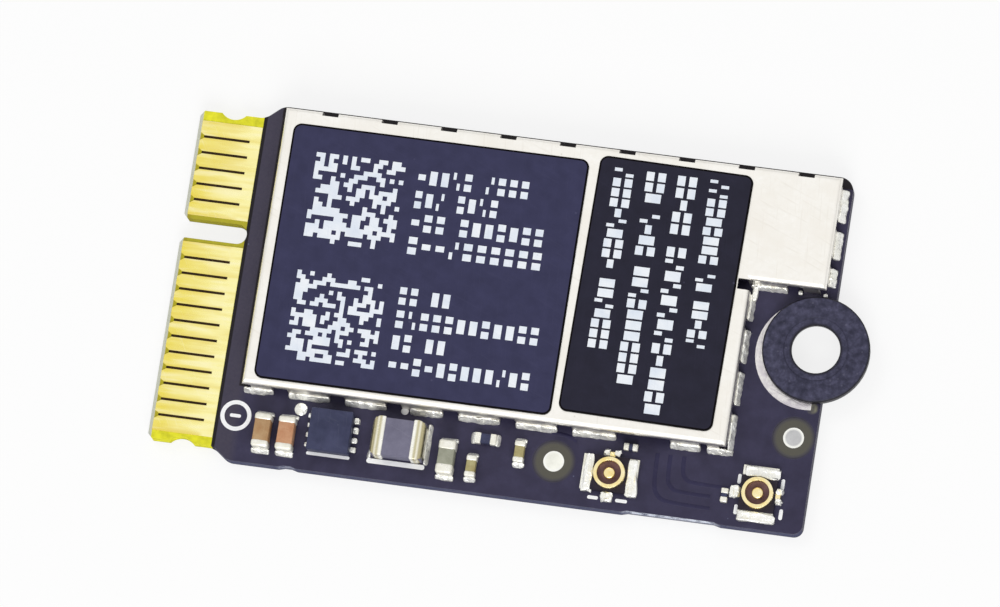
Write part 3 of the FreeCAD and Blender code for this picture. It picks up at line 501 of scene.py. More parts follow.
finishLooks = {
    "shieldTin": {
        "tone": (252, 250, 245), "second": (241, 237, 229), "worn": (226, 221, 212), "speckTone": (190, 182, 166),
        "patch": 0.7, "tooth": 5.0, "rough": (0.3, 0.42), "metal": 1.0, "bump": 0.002, "wave": 2.2, "mottle": 0.5,
        "scuffShare": 0.35, "density": 0.45, "speckShare": 0.6, "specks": 0.8, "speckSize": 0.06},
    "solderTin": {
        "tone": (255, 255, 253), "second": (240, 239, 230), "worn": (212, 212, 206), "patch": 2.6, "tooth": 9.0,
        "rough": (0.14, 0.3), "metal": 0.5, "bump": 0.012, "wave": 3.5, "shine": 0.6},
    "padTin": {
        "tone": (255, 253, 246), "second": (200, 193, 202), "worn": (168, 162, 174), "patch": 1.3, "tooth": 6.0,
        "rough": (0.26, 0.42), "metal": 0.6, "bump": 0.006, "scuffShare": 0.3, "speckTone": (255, 255, 252),
        "speckShare": 0.8, "specks": 2.0, "speckSize": 0.2, "mottle": 0.5},
    "endTin": {
        "tone": (253, 252, 244), "second": (232, 229, 214), "worn": (196, 192, 178), "patch": 2.6, "tooth": 12.0,
        "rough": (0.24, 0.38), "metal": 0.35, "bump": 0.006, "wave": 1.5, "scuffShare": 0.25, "shine": 0.6},
    "lidMetal": {
        "tone": (214, 212, 204), "second": (196, 193, 184), "patch": 1.2, "tooth": 16.0, "rough": (0.3, 0.42),
        "metal": 1.0, "bump": 0.003},
    "socketGold": {
        "tone": (253, 243, 204), "second": (242, 219, 144), "worn": (208, 177, 100), "patch": 2.5, "tooth": 16.0,
        "rough": (0.2, 0.34), "metal": 1.0, "bump": 0.004, "scuffShare": 0.4},
    "chipBlack": {
        "tone": (67, 70, 98), "second": (52, 55, 80), "worn": (92, 95, 114), "patch": 1.6, "tooth": 12.0,
        "rough": (0.42, 0.56), "bump": 0.006, "shine": 0.2, "speckShare": 0.4, "speckTone": (104, 106, 124),
        "specks": 3.0},
    "ceramicBrown": {**ceramicLook, "tone": (188, 156, 117), "second": (168, 127, 86), "worn": (208, 176, 134)},
    "ceramicRedBrown": {**ceramicLook, "tone": (208, 162, 126), "second": (186, 129, 93), "worn": (222, 178, 140)},
    "ceramicBeige": {
        **ceramicLook, "tone": (166, 167, 150), "second": (142, 143, 126), "worn": (182, 182, 164), "patch": 2.2,
        "rough": (0.4, 0.55)},
    "ceramicTan": {
        **ceramicLook, "tone": (184, 176, 128), "second": (156, 142, 94), "worn": (200, 192, 150), "patch": 2.6,
        "tooth": 16.0, "rough": (0.4, 0.55), "bump": 0.007},
    "ferriteGrey": {
        "tone": (124, 122, 142), "second": (106, 104, 124), "worn": (142, 140, 156), "patch": 1.4, "tooth": 12.0,
        "rough": (0.48, 0.62), "bump": 0.008, "shine": 0.25},
    "ceramicWhite": {
        "tone": (218, 216, 208), "second": (204, 201, 192), "patch": 1.5, "tooth": 22.0, "rough": (0.45, 0.6),
        "bump": 0.005},
    "printInk": inkLook,
    "silkWhite": {**inkLook, "tone": (255, 255, 255), "second": (244, 245, 248), "worn": (230, 231, 236)},
    "traceMask": {
        "tone": (47, 44, 74), "second": (40, 37, 62), "worn": (62, 60, 86), "patch": 1.1, "tooth": 8.0,
        "rough": (0.34, 0.46), "bump": 0.003, "shine": 0.2},
    # dark brown for the strips in the contact slits
    "contactSlitDark": {
        "tone": (54, 36, 12), "second": (34, 22, 8), "patch": 4.0, "tooth": 26.0, "rough": (0.5, 0.7),
        "bump": 0.004, "shine": 0.15},
    "mainFilm": filmLook,
    "sideFilm": {**filmLook, "tone": (33, 32, 49), "second": (27, 26, 41), "worn": (45, 44, 63)},
    # painted shade: near black for the label's cut edge and the shadow line along it
    "filmRimShade": {**filmLook, "tone": (8, 6, 8), "second": (14, 11, 13), "worn": (30, 28, 34), "shine": 0.05}}


def plainFinish(name, look):  # two tones in patches, tooth, hairline scuffs and specks
    look = {"worn": look["second"], "speckTone": look["second"], **plainLook, **look}
    tree, place, patches, teeth = startFinish(name, (look["patch"], look["tooth"]))
    scuffs = scuffsAt(tree, place, look["turn"], look["density"])
    specks = specksAt(tree, place, look["specks"], look["speckSize"])
    worn = times(tree, scuffs, look["scuffShare"])
    base = twoTones(tree, patches, look["tone"], look["second"])
    base = lay(tree, base, look["second"], teeth, look["mottle"])
    base = lay(tree, base, look["worn"], worn)
    base = lay(tree, base, look["speckTone"], specks, look["speckShare"])
    rough = addShare(tree, roughOf(tree, look, patches), worn, look["scuffRough"])
    height = addShare(tree, teeth, scuffs, -look["scuffDepth"])
    endFinish(tree, look, base, rough, addShare(tree, height, patches, look["wave"]))


for name, look in finishLooks.items():
    plainFinish(name, look)

maskLook = {
    "tone": (60, 57, 82), "second": (48, 45, 66), "grain": (1.1, 8.0), "mottle": 0.25, "specks": (1.1, 0.05),
    "dust": 0.3, "strip": (68, 64, 79), "stripEdge": (-12.0, -0.4), "faceLow": 0.4, "soft": 0.02, "hard": 0.001,
    "halo": (87, 85, 77), "haloRadius": 0.78, "haloSoft": 0.25,
    "wall": (0.05, 0.76), "edge": (16, 24, 70), "fibre": (150, 158, 190), "fibres": (3.5, 26.0), "loose": 0.22,
    "eastWall": (122, 120, 126), "eastEdge": 14.3,
    "torn": (228, 234, 248), "tornSpans": [(5.9, 10.6, 1.0), (-10.1, -9.2, 0.3)], "tornLow": -8.2, "tornFade": 0.12,
    "tornSink": -0.3, "tornDepth": (-0.15, 0.2), "ragged": (0.6, 1.2),
    # painted shade beside the shield's foot: where, how dark and how soft
    "footLine": (-12.42, -12.0, -4.9, 7.9), "footShadeTone": (22, 16, 14), "footSoft": 0.05, "footShadeShare": 0.9,
    "corner": (13.98, -2.5), "cornerSize": (0.18, 0.12), "cornerTone": (136, 134, 112),
    "laminate": (242, 238, 52), "laminateDeep": (206, 203, 44), "tips": (-15.85, -0.1, 7.25),
    "tipTone": (176, 164, 34), "slot": (1.2, 2.9), "slotTone": (160, 150, 46), "slotShare": 0.8,
    "seam": (22, 18, 22), "seamEnd": -13.1,
    "frontEdge": -16.1, "bevel": (214, 216, 200), "edgeSoft": 0.04, "rough": (0.34, 0.46), "wallRough": 0.35,
    "bareRough": 0.15, "wave": 2.0, "wallTooth": 8.0, "bump": 0.002, "shine": 0.2}


def sawnWall(tree, look, axes, fibrePatches, fibreTeeth):  # the board's cut edge, pale where it was broken out
    x, y, z = axes
    sawn = twoTones(tree, fibrePatches, look["edge"], look["tone"])
    sawn = lay(tree, sawn, look["fibre"], fibreTeeth, look["loose"])
    east = past(tree, x, look["eastEdge"], look["soft"])
    sawn = tint(tree, east, sawn, twoTones(tree, fibreTeeth, look["eastWall"], look["tone"]))
    south = past(tree, y, look["tornLow"], -look["soft"])
    depth = addShare(tree, z, fibrePatches, look["tornSink"] * mm)
    depth = span(tree, depth, *(edge * mm for edge in look["tornDepth"]))
    fibres = maths(tree, "ADD", fibrePatches, fibreTeeth)
    for left, right, paleness in look["tornSpans"]:
        along = between(tree, x, left, right, look["tornFade"] * (right - left))
        ragged = span(tree, fibres, *look["ragged"], 0.0, paleness)
        sawn = lay(tree, sawn, look["torn"], along, depth, south, ragged)
    return sawn


def shieldFootShade(tree, look, axes):  # painted shade along two sides of the shield's foot, where its wall shades the board
    x, y, _ = axes
    left, right, low, high = look["footLine"]
    west = times(
        tree, past(tree, x, left, look["footSoft"]), past(tree, x, right, -look["hard"]),
        past(tree, y, low, look["hard"]))
    north = times(tree, past(tree, y, high, look["hard"]), past(tree, x, left, look["hard"]))
    return maths(tree, "MAXIMUM", west, north)


def bareLaminate(tree, look, axes, fibrePatches):  # the tongue: darker at its tips and darker olive along the key slot
    x, y, _ = axes
    laminate = twoTones(tree, fibrePatches, look["laminate"], look["laminateDeep"])
    start, soft, halfWidth = look["tips"]
    across = past(tree, maths(tree, "ABSOLUTE", y), halfWidth, -look["hard"])
    laminate = lay(tree, laminate, look["tipTone"], past(tree, x, start, soft), across)
    slot = between(tree, y, *look["slot"], look["hard"])
    return lay(tree, laminate, look["slotTone"], slot, look["slotShare"])


def maskFinish(look):  # solder mask over laminate, bare at the tongue and round the alignment targets
    tree, place, patches, teeth = startFinish("boardMask", look["grain"])
    axes = x, _, z = axesOf(tree, place)
    fibrePatches, fibreTeeth = grainAt(tree, place, *look["fibres"])
    specks = specksAt(tree, place, *look["specks"])
    face = past(tree, z, look["faceLow"], look["hard"])
    base = twoTones(tree, patches, look["tone"], look["second"])
    base = lay(tree, base, look["strip"], past(tree, x, *look["stripEdge"]))
    base = lay(tree, base, look["second"], teeth, look["mottle"])
    base = lay(tree, base, look["fibre"], specks, look["dust"])
    for target in targets:  # olive laminate shows in the open ring round each target
        spot, _ = spotAt(tree, place, middleOf(target), look["haloRadius"], look["haloSoft"])
        base = lay(tree, base, look["halo"], spot, face)
    wall = between(tree, z, *look["wall"], look["soft"])
    base = tint(tree, wall, base, sawnWall(tree, look, axes, fibrePatches, fibreTeeth))
    aboveWall = past(tree, z, look["wall"][1] - look["soft"], look["soft"])
    # painted shade: the board along the shield's foot is darkened near black
    foot = times(tree, shieldFootShade(tree, look, axes), aboveWall, look["footShadeShare"])
    base = lay(tree, base, look["footShadeTone"], foot)
    corner = (look["corner"][0] * mm, look["corner"][1] * mm, 0)
    spot, _ = spotAt(tree, place, corner, *look["cornerSize"])
    base = lay(tree, base, look["cornerTone"], spot, fibrePatches, face)
    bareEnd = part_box("edge_contacts_long")[1].x / mm + look["soft"]
    bare = past(tree, x, bareEnd, -look["soft"])
    base = tint(tree, bare, base, bareLaminate(tree, look, axes, fibrePatches))
    seam = past(tree, x, look["seamEnd"] + look["edgeSoft"], -look["edgeSoft"])  # thick dark edge beside the gold
    seam = times(tree, seam, maths(tree, "SUBTRACT", 1.0, bare))
    base = lay(tree, base, look["seam"], seam)
    front = past(tree, x, look["frontEdge"] + look["edgeSoft"], -look["edgeSoft"])
    base = lay(tree, base, look["bevel"], front)
    rough = addShare(tree, roughOf(tree, look, patches), wall, look["wallRough"])
    rough = addShare(tree, rough, bare, look["bareRough"])
    height = addShare(tree, teeth, patches, look["wave"])
    endFinish(tree, look, base, rough, addShare(tree, height, times(tree, fibreTeeth, wall), look["wallTooth"]))


goldLook = {
    "tip": (238, 220, 88), "root": (255, 248, 178), "worn": (255, 249, 210), "deep": (236, 214, 112),
    "side": (229, 204, 88), "grain": (1.1, 12.0), "wipes": (0.0, 0.8), "tipEdge": -16.1, "rootEdge": -14.0,
    "uneven": 0.4, "blend": (0.1, 1.2), "deepShare": 0.25, "pitch": 0.75, "longLow": -7.475, "shortLow": 2.795,
    "roll": (0.2, 0.44), "rollShadeShare": 0.5, "slit": (-13.7, -0.2), "wipeShare": 0.2, "bandStretch": (0.45, 3.4, 1.0),
    "bandDetail": 2.0, "paleBands": (0.5, 0.68, 0.0, 0.45), "deepBands": (0.5, 0.32, 0.0, 0.4),
    "rough": (0.22, 0.36), "metal": 1.0, "wipeDepth": -0.4, "wave": 3.0, "bump": 0.0025}


def goldFinish(look):  # plate that pales from the tips to the roots, with wiping marks along the fingers
    tree, place, patches, teeth = startFinish("contactGold", look["grain"])
    x, y, _ = axesOf(tree, place)
    wipes = scuffsAt(tree, place, *look["wipes"])
    along = span(tree, x, look["tipEdge"] * mm, look["rootEdge"] * mm)
    share = span(tree, addShare(tree, along, patches, look["uneven"]), *look["blend"])
    base = twoTones(tree, share, look["tip"], look["root"])
    base = lay(tree, base, look["deep"], patches, look["deepShare"])
    short = maths(tree, "GREATER_THAN", y, (look["shortLow"] - look["pitch"]) * mm)
    lowest = maths(tree, "MULTIPLY_ADD", short, (look["shortLow"] - look["longLow"]) * mm, look["longLow"] * mm)
    finger = maths(tree, "DIVIDE", maths(tree, "SUBTRACT", y, lowest), look["pitch"] * mm)
    fromMiddle = maths(tree, "ABSOLUTE", maths(tree, "SUBTRACT", maths(tree, "FRACT", finger), 0.5))
    side = times(  # painted shade: the plate darkens towards the slits, where it would roll off
        tree, span(tree, fromMiddle, *look["roll"]), past(tree, x, *look["slit"]))
    base = lay(tree, base, look["side"], side, look["rollShadeShare"])
    base = lay(tree, base, look["worn"], wipes, look["wipeShare"])
    drawn = vectorMaths(tree, "MULTIPLY", place, look["bandStretch"])[0]
    bands = noiseAt(tree, drawn, 1 / mm, look["bandDetail"])
    base = lay(tree, base, look["worn"], span(tree, bands, *look["paleBands"]))
    base = lay(tree, base, look["side"], span(tree, bands, *look["deepBands"]))
    height = addShare(tree, teeth, wipes, look["wipeDepth"])
    endFinish(tree, look, base, roughOf(tree, look, patches), addShare(tree, height, patches, look["wave"]))


ringLook = {
    "tone": (82, 81, 106), "second": (36, 36, 55), "worn": (108, 106, 126), "grain": (3.0, 9.0), "mottle": 0.6,
    "flecks": (3.2, 0.2), "fleckShare": 0.35, "line": 1.48, "lineWidth": 0.06, "lineShare": 0.5, "lineDepth": -1.5,
    "turning": 5.0, "turningDetail": 3.0, "turningRange": (0.3, 0.7), "turningDepth": 1.2,
    # lip tone: painted shade on the bore's wall and the outer edge
    "lip": (1.27, -0.12), "outerLip": (2.38, 0.08), "lipTone": (18, 16, 26), "rough": (0.4, 0.56), "wave": 1.5,
    "bump": 0.005, "shine": 0.25}


def ringFinish(look):  # satin black coat with turning marks and one faint inner circle
    tree, place, patches, teeth = startFinish("ringBlack", look["grain"])
    _, distance = spotAt(tree, place, middleOf(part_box("mounting_ring")), look["line"])
    flecks = specksAt(tree, place, *look["flecks"])
    turning = addNode(
        tree, "ShaderNodeTexNoise",
        {"W": distance, "Scale": look["turning"] / mm, "Detail": look["turningDetail"]},
        noise_dimensions="1D").outputs[0]
    offLine = maths(tree, "ABSOLUTE", maths(tree, "SUBTRACT", distance, look["line"] * mm))
    line = past(tree, offLine, look["lineWidth"], -look["lineWidth"])
    base = twoTones(tree, patches, look["tone"], look["second"])
    base = lay(tree, base, look["second"], teeth, look["mottle"])
    base = lay(tree, base, look["worn"], flecks, look["fleckShare"])
    # painted shade: the bore's wall and the outer edge are darkened near black
    lipShade = maths(tree, "MAXIMUM", past(tree, distance, *look["lip"]), past(tree, distance, *look["outerLip"]))
    base = lay(tree, base, look["lipTone"], lipShade)
    base = lay(tree, base, look["second"], line, look["lineShare"])
    rough = span(tree, turning, *look["turningRange"], *look["rough"])
    height = addShare(tree, teeth, patches, look["wave"])
    height = addShare(tree, height, turning, look["turningDepth"])
    endFinish(tree, look, base, rough, addShare(tree, height, line, look["lineDepth"]))


targetLook = {
    "rim": (252, 252, 246), "rimDull": (200, 200, 194), "dullShare": 0.2, "grain": (2.0, 12.0),
    "inner": (0.34, 0.084),  # radius and soft rim
    "middles": [((250, 250, 240), (234, 234, 224)), ((200, 200, 201), (184, 184, 185))], "rough": (0.28, 0.4),
    "metal": 0.5, "wave": 2.0, "bump": 0.004}


def targetFinish(look):  # tinned discs, duller in the middle than at the rim
    tree, place, patches, teeth = startFinish("targetTin", look["grain"])
    base = twoTones(tree, times(tree, patches, look["dullShare"]), look["rim"], look["rimDull"])
    for target, tones in zip(targets, look["middles"]):
        spot, _ = spotAt(tree, place, middleOf(target), *look["inner"])
        base = tint(tree, spot, base, twoTones(tree, patches, *tones))
    endFinish(tree, look, base, roughOf(tree, look, patches), addShare(tree, teeth, patches, look["wave"]))


coilEndLook = {
    "inner": (255, 254, 246), "mottle": 0.2, "mottleTone": (200, 192, 156), "grain": (2.4, 14.0),
    "bands": [  # painted highlight and shade bands: from and to, as shares of a cap's width, and the tone beyond
        (0.2, 0.34, (200, 192, 156)), (0.42, 0.52, (244, 240, 222)), (0.56, 0.68, (186, 176, 136)),
        (0.82, 0.92, (70, 64, 50)), (0.97, 0.99, (244, 240, 222))],
    "rough": (0.2, 0.34), "metal": 0.3, "wave": 2.0, "bump": 0.002}


def coilEndFinish(look):  # silvered paste, painted white as a highlight along the body and painted darker as shade towards the rolled outer edge
    tree, place, patches, teeth = startFinish("coilEndSilver", look["grain"])
    low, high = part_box("power_inductor_ends")
    width = min(far.x - near.x for near, far in boxesOf("power_inductor_ends"))
    half = (high.x - low.x) / 2
    away = maths(tree, "ABSOLUTE", maths(tree, "SUBTRACT", axesOf(tree, place)[0], (low.x + high.x) / 2))
    across = span(tree, away, half - width, half)  # 0 beside the body, 1 at the outer end
    base = colour(*look["inner"])
    for start, stop, tone in look["bands"]:
        base = lay(tree, base, tone, span(tree, across, start, stop))
    base = lay(tree, base, look["mottleTone"], patches, look["mottle"])
    endFinish(tree, look, base, roughOf(tree, look, patches), addShare(tree, teeth, patches, look["wave"]))


mouldingLook = {
    "inside": ((114, 87, 90), (92, 67, 74)), "outside": ((44, 38, 50), (34, 29, 40)), "bore": 0.62,
    "grain": (2.5, 30.0), "rough": (0.45, 0.6), "bump": 0.006, "shine": 0.2}


def mouldingFinish(look):  # brown resin, lit inside the tube and dark round its foot
    tree, place, patches, teeth = startFinish("socketMoulding", look["grain"])
    base = twoTones(tree, patches, *look["outside"])
    inside = twoTones(tree, patches, *look["inside"])
    for middle in ports.values():
        spot, _ = spotAt(tree, place, middle, look["bore"])
        base = tint(tree, spot, base, inside)
    endFinish(tree, look, base, roughOf(tree, look, teeth), teeth)


maskFinish(maskLook)
goldFinish(goldLook)
ringFinish(ringLook)
targetFinish(targetLook)
coilEndFinish(coilEndLook)
mouldingFinish(mouldingLook)
print("finishes ready:", len(finishes))

keptNodes = {  # solids that show as they are, under each finish
    "boardMask": ["circuit_board"], "shieldTin": ["shield_can"], "padTin": ["mount_ground_pad"],
    "contactGold": [
        "edge_contacts_long", "edge_contacts_short", "underside_contacts_long", "underside_contacts_short"],
    "socketMoulding": ["antenna_socket_a_base", "antenna_socket_b_base"], "targetTin": ["fiducial_pads"],
    "chipBlack": ["radio_chip", "bluetooth_chip", "front_end_low", "front_end_high", "memory_chip"],
    "ceramicWhite": ["band_filter_one", "band_filter_two", "crystal_base"], "lidMetal": ["crystal_lid"],
    "ceramicTan": ["decoupling_bodies"], "endTin": ["decoupling_ends"]}
for finish, names in keptNodes.items():
    for name in names:
        for slot in nodes[name].material_slots:
            slot.material = finishes[finish]


# contact gaps: dark brown strips in the slits between the gold fingers

gapSizes = {"pitch": 0.75, "width": 0.13, "fromTip": 0.17, "fromRoot": 0.49, "rise": 0.014, "corner": 0.05}


def makeContactGaps(sizes):
    strips = []
    half = sizes["width"] / 2 * mm
    for comb in ("edge_contacts_long", "edge_contacts_short"):
        low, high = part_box(comb)
        for place in range(1, round((high.y - low.y) / (sizes["pitch"] * mm))):
            middle = low.y + place * sizes["pitch"] * mm
            if strips:
                strip = copyPiece(strips[0], "contactGap")
                strip.location.y = middle - firstMiddle
            else:
                strip = addBox(
                    "contactGap", (low.x + sizes["fromTip"] * mm, middle - half, low.z),
                    (high.x - sizes["fromRoot"] * mm, middle + half, low.z + sizes["rise"] * mm))
                roundUprights(strip, sizes["corner"] * mm)
                firstMiddle = middle
            strips.append(strip)
    settle(joinPieces(strips, "contactGaps"), "contactSlitDark")


makeContactGaps(gapSizes)


# mounting ring: the turned eyelet with its edges softened

ringSizes = {"edge": 0.06, "segments": 3}
ring = copyOfNode("mounting_ring", "screwRing")
roundEdges(ring, ringSizes["edge"] * mm, ringSizes["segments"], turnedEdge)
settle(ring, "ringBlack", "mounting_ring", roundShade)
print("contacts and ring done")


# solder along the shield's tabs and at the chip parts' ends

shieldSolder = {
    "node": "shield_solder_joints", "longest": 0.6, "slices": 6, "cuts": 1, "jitter": 0.075, "swell": 0.035,
    "sink": 0.02, "seed": 4, "reach": 0.1, "foot": 0.2, "taper": [(0.5, 0.03), (0.25, 0.05)], "taperEnd": 9.0,
    "spread": 0.1, "spreadFrom": 0.12, "backShare": 0.8, "dotStrip": -4.71, "dotRoom": 0.4}
chipSolder = {
    "node": "component_solder_joints", "longest": 0.6, "slices": 2, "cuts": 1, "jitter": 0.05, "swell": 0.045,
    "sink": 0.02, "seed": 9, "reach": 0.1, "tuckEdge": -6.05, "tuckLow": -7.2, "tuck": 0.16}


def startSolder(name, sizes):
    piece = copyOfNode(sizes["node"], name)
    pickEdges(piece, lambda a, b: (a - b).length > sizes["longest"] * mm)
    bpy.ops.mesh.subdivide(number_cuts=sizes["slices"])
    bpy.ops.mesh.select_all(action="SELECT")
    bpy.ops.transform.shrink_fatten(value=sizes["swell"] * mm)
    closeMesh()
    return piece


def endSolder(piece, sizes):
    meltSolder(piece, sizes["cuts"], sizes["jitter"], sizes["seed"])
    piece.location.z = -sizes["sink"] * mm
    settle(piece, "solderTin", sizes["node"], beadShade)


def makeShieldSolder(sizes):
    piece = startSolder("shieldSolder", sizes)
    strips = boxesOf(sizes["node"])
    (_, front, _), (end, back, _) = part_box("shield_can")
    reach = sizes["reach"] * mm
    footTop = boardTop + sizes["foot"] * mm
    for run, pull in sizes["taper"]:  # along the near wall the solder thins out towards each tab's far end
        for low, high in strips:
            if high.y <= front + mergeReach and high.x <= sizes["taperEnd"] * mm:
                shiftCorners(
                    piece, lambda spot: spot.y < low.y + reach and spot.z < footTop
                    and high.x - run * mm < spot.x < high.x + reach, (0, pull * mm, 0))
    shiftCorners(  # at the far end it runs out to the board's edge
        piece, lambda spot: spot.x > end + sizes["spreadFrom"] * mm and spot.z < footTop,
        (sizes["spread"] * mm, 0, 0))
    for low, high in strips:  # behind the shield the strips stay clear of the gaps
        if low.y > back - mergeReach:
            stretchCorners(
                piece, lambda spot: spot.y > back - reach and low.x - reach < spot.x < high.x + reach,
                (sizes["backShare"], 1, 1), (low + high) / 2)
    low, high = min(  # one strip stops short of a printed dot
        strips, key=lambda strip: abs(strip[0].x - sizes["dotStrip"] * mm) + max(strip[1].y - front, 0))
    shorter = 1 - sizes["dotRoom"] * mm / (high.x - low.x)
    stretchCorners(
        piece, lambda spot: low.x - reach < spot.x < high.x + reach and spot.y < front + reach,
        (shorter, 1, 1), (high.x, 0, 0))
    endSolder(piece, sizes)


def makeChipSolder(sizes):
    piece = startSolder("chipSolder", sizes)
    shiftCorners(  # one strip is nearly hidden under the part it holds
        piece, lambda spot: abs(spot.x - sizes["tuckEdge"] * mm) < sizes["reach"] * mm
        and spot.y > sizes["tuckLow"] * mm, (sizes["tuck"] * mm, 0, 0))
    endSolder(piece, sizes)


makeShieldSolder(shieldSolder)
makeChipSolder(chipSolder)

straySizes = {  # solder that joins two strips, and drops beside them: left, right, low, high, height
    "spots": [(10.46, 10.74, 2.1, 2.86, 0.3), (12.56, 12.76, 2.66, 2.88, 0.18), (13.72, 13.92, 2.68, 2.86, 0.2)],
    "cuts": 1, "jitter": 0.02, "seed": 31, "levels": 3}


def makeStrayBeads(sizes):
    beads = []
    for number, spot in enumerate(sizes["spots"]):
        bead = addPlate(*spot)
        meltSolder(bead, sizes["cuts"], sizes["jitter"], sizes["seed"] + number, sizes["levels"])
        beads.append(bead)
    settle(joinPieces(beads, "straySolder"), "solderTin", None, beadShade)


makeStrayBeads(straySizes)


# chip parts: a ceramic core with plated ends that wrap round it

chipSizes = {
    "input_capacitor_one": {"finish": "ceramicBrown", "slot": "ceramic_brown", "round": 0.13},
    "input_capacitor_two": {"finish": "ceramicRedBrown", "slot": "ceramic_brown", "round": 0.13},
    "output_capacitor": {"finish": "ceramicBeige", "slot": "ceramic_beige", "round": 0.13, "band": 0.13},
    "bypass_capacitor_one": {"finish": "ceramicTan", "slot": "ceramic_tan", "round": 0.08},
    "bypass_capacitor_two": {"finish": "ceramicTan", "slot": "ceramic_tan", "round": 0.08},
    "feedback_resistor": {"finish": "chipBlack", "slot": "chip_black", "round": 0.04},
    "matching_part_one": {"finish": "chipBlack", "slot": "chip_black", "round": 0.05},
    "matching_part_two": {"finish": "chipBlack", "slot": "chip_black", "round": 0.05},
    "power_inductor": {
        "finish": "ferriteGrey", "slot": "ferrite_grey", "round": 0.06, "roll": 0.34, "ends": "coilEndSilver"}}
chipBuild = {"rollSegments": 8, "coreRound": 0.5, "capSegments": 4, "capRim": 0.5, "facing": 0.99}


def makeCap(low, high, coreBox, sizes, build):  # one plated end with a pocket for the core
    outward = (low + high) / 2 - middleOf(coreBox)
    axis = 0 if abs(outward.x) > abs(outward.y) else 1
    way = -1 if outward[axis] > 0 else 1
    inside, outside = (low, high) if way < 0 else (high, low)
    inside[axis] += way * sizes.get("band", 0.0) * mm
    cap = addBox("cap", low, high)
    if "roll" in sizes:  # the outer edges roll right over
        bevelEdges(
            cap, lambda a, b: max(abs(a[axis] - outside[axis]), abs(b[axis] - outside[axis])) < mergeReach
            and max(a.z, b.z) > high.z - mergeReach, sizes["roll"] * mm, build["rollSegments"])
    roundEdges(cap, sizes["round"] * mm, build["capSegments"])
    plating = min(abs(low.z - coreBox[0].z), abs(high.z - coreBox[1].z))
    pickFaces(cap, lambda spot, normal: normal[axis] * way > build["facing"])  # the side that the core goes into
    bpy.ops.mesh.inset(thickness=plating * build["capRim"])
    push = [0, 0, 0]
    push[axis] = -way * ((high - low)[axis] - 2 * plating)
    bpy.ops.mesh.extrude_region_move(TRANSFORM_OT_translate={"value": push})
    closeMesh()
    return cap


def makeChip(node, sizes, build):
    first, *rest = node.split("_")
    name = first + "".join(word.capitalize() for word in rest)
    coreBox = low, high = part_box(node + "_body")
    core = addBox(name + "Core", low, high)
    if "roll" in sizes:  # its ends are rounded as far as the caps over them
        bevelEdges(
            core, lambda a, b: abs(a.x - b.x) < mergeReach and min(a.z, b.z) > high.z - mergeReach,
            sizes["roll"] * mm, build["rollSegments"])
    roundEdges(core, sizes["round"] * build["coreRound"] * mm)
    settle(core, sizes["finish"], node + "_body")
    caps = [makeCap(*box, coreBox, sizes, build) for box in boxesOf(node + "_ends")]
    settle(joinPieces(caps, name + "Ends"), sizes.get("ends", "endTin"), node + "_ends", roundShade)


for node, sizes in chipSizes.items():
    makeChip(node, sizes, chipBuild)
print("chip parts and solder done")


# regulator: moulded package with a bevelled rim, and a bead of solder on each lead

regulatorSizes = {
    "rim": 0.05, "swell": 0.03, "lift": 0.05, "reach": 0.1, "cuts": 1, "jitter": 0.05, "seed": 21, "levels": 3}


def makeRegulator(sizes):
    packageLow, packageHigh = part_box("regulator_chip")
    package = addBox("regulatorPackage", packageLow, packageHigh)
    roundEdges(package, sizes["rim"] * mm)
    settle(package, "chipBlack", "regulator_chip")
    beads = []
    for number, (low, high) in enumerate(boxesOf("regulator_leads")):
        if low.x > packageHigh.x - mergeReach:  # the outer row carries more solder
            low -= Vector((0, sizes["swell"], 0)) * mm
            high += Vector((sizes["reach"], sizes["swell"], sizes["lift"])) * mm
        bead = addBox("regulatorLead", low, high)
        meltSolder(bead, sizes["cuts"], sizes["jitter"], sizes["seed"] + number, sizes["levels"])
        beads.append(bead)
    settle(joinPieces(beads, "regulatorLeads"), "solderTin", "regulator_leads", beadShade)


makeRegulator(regulatorSizes)


# antenna sockets: gold tube and pin, tinned feet and the solder that holds them

socketSizes = {
    "edge": 0.03, "pinReach": 0.3, "pinSwell": 1.25, "tubeReach": 0.74, "footLift": 0.235,
    "beads": {  # near end's left and right, far end's left and right, near and far ends, height
        "a": [(-1.27, -0.72, -1.14, -0.84, -0.92, 0.82, 0.34), (0.82, 1.38, 0.84, 1.24, -0.94, 0.78, 0.34)],
        "b": [(-1.27, -0.74, -1.25, -0.76, -0.74, 0.9, 0.34), (0.88, 1.34, 0.92, 1.32, -0.8, 0.94, 0.34)],
        "both": [
            (-0.26, 0.26, -0.26, 0.26, -1.3, -0.86, 0.28), (-0.36, -0.12, -0.36, -0.12, 0.84, 1.12, 0.3),
            (0.12, 0.36, 0.12, 0.36, 0.84, 1.12, 0.3)]},
    "cuts": 3, "jitter": 0.15, "sink": 0.03, "turns": {"a": 0.0, "b": -math.pi / 2}, "seeds": {"a": 40, "b": 60}}


def makeSocketShell(letter, sizes):
    middle = ports[letter]
    node = "antenna_socket_" + letter + "_shell"
    shell = copyOfNode(node, "socketShell" + letter.upper())
    roundEdges(shell, sizes["edge"] * mm, angle=turnedEdge)
    wear(shell, "socketGold", "endTin")
    reach = sizes["tubeReach"] * mm
    for face in shell.data.polygons:  # feet and tail are tinned, the tube and the far tab stay gold
        spot = Matrix.Rotation(-sizes["turns"][letter], 3, "Z") @ (face.center - middle)
        low = face.center.z < boardTop + sizes["footLift"] * mm
        face.material_index = 1 if low and (abs(spot.x) > reach or spot.y < -reach) else 0
    settle(shell, None, node, roundShade)


def makeSocketPin(letter, sizes):
    middle = ports[letter]
    node = "antenna_socket_" + letter + "_pin"
    pin = copyOfNode(node, "socketPin" + letter.upper())
    stretchCorners(
        pin, lambda spot: (spot - middle).xy.length < sizes["pinReach"] * mm,
        (sizes["pinSwell"], sizes["pinSwell"], 1), middle)
    roundEdges(pin, sizes["edge"] * mm, angle=turnedEdge)
    settle(pin, "socketGold", node, roundShade)


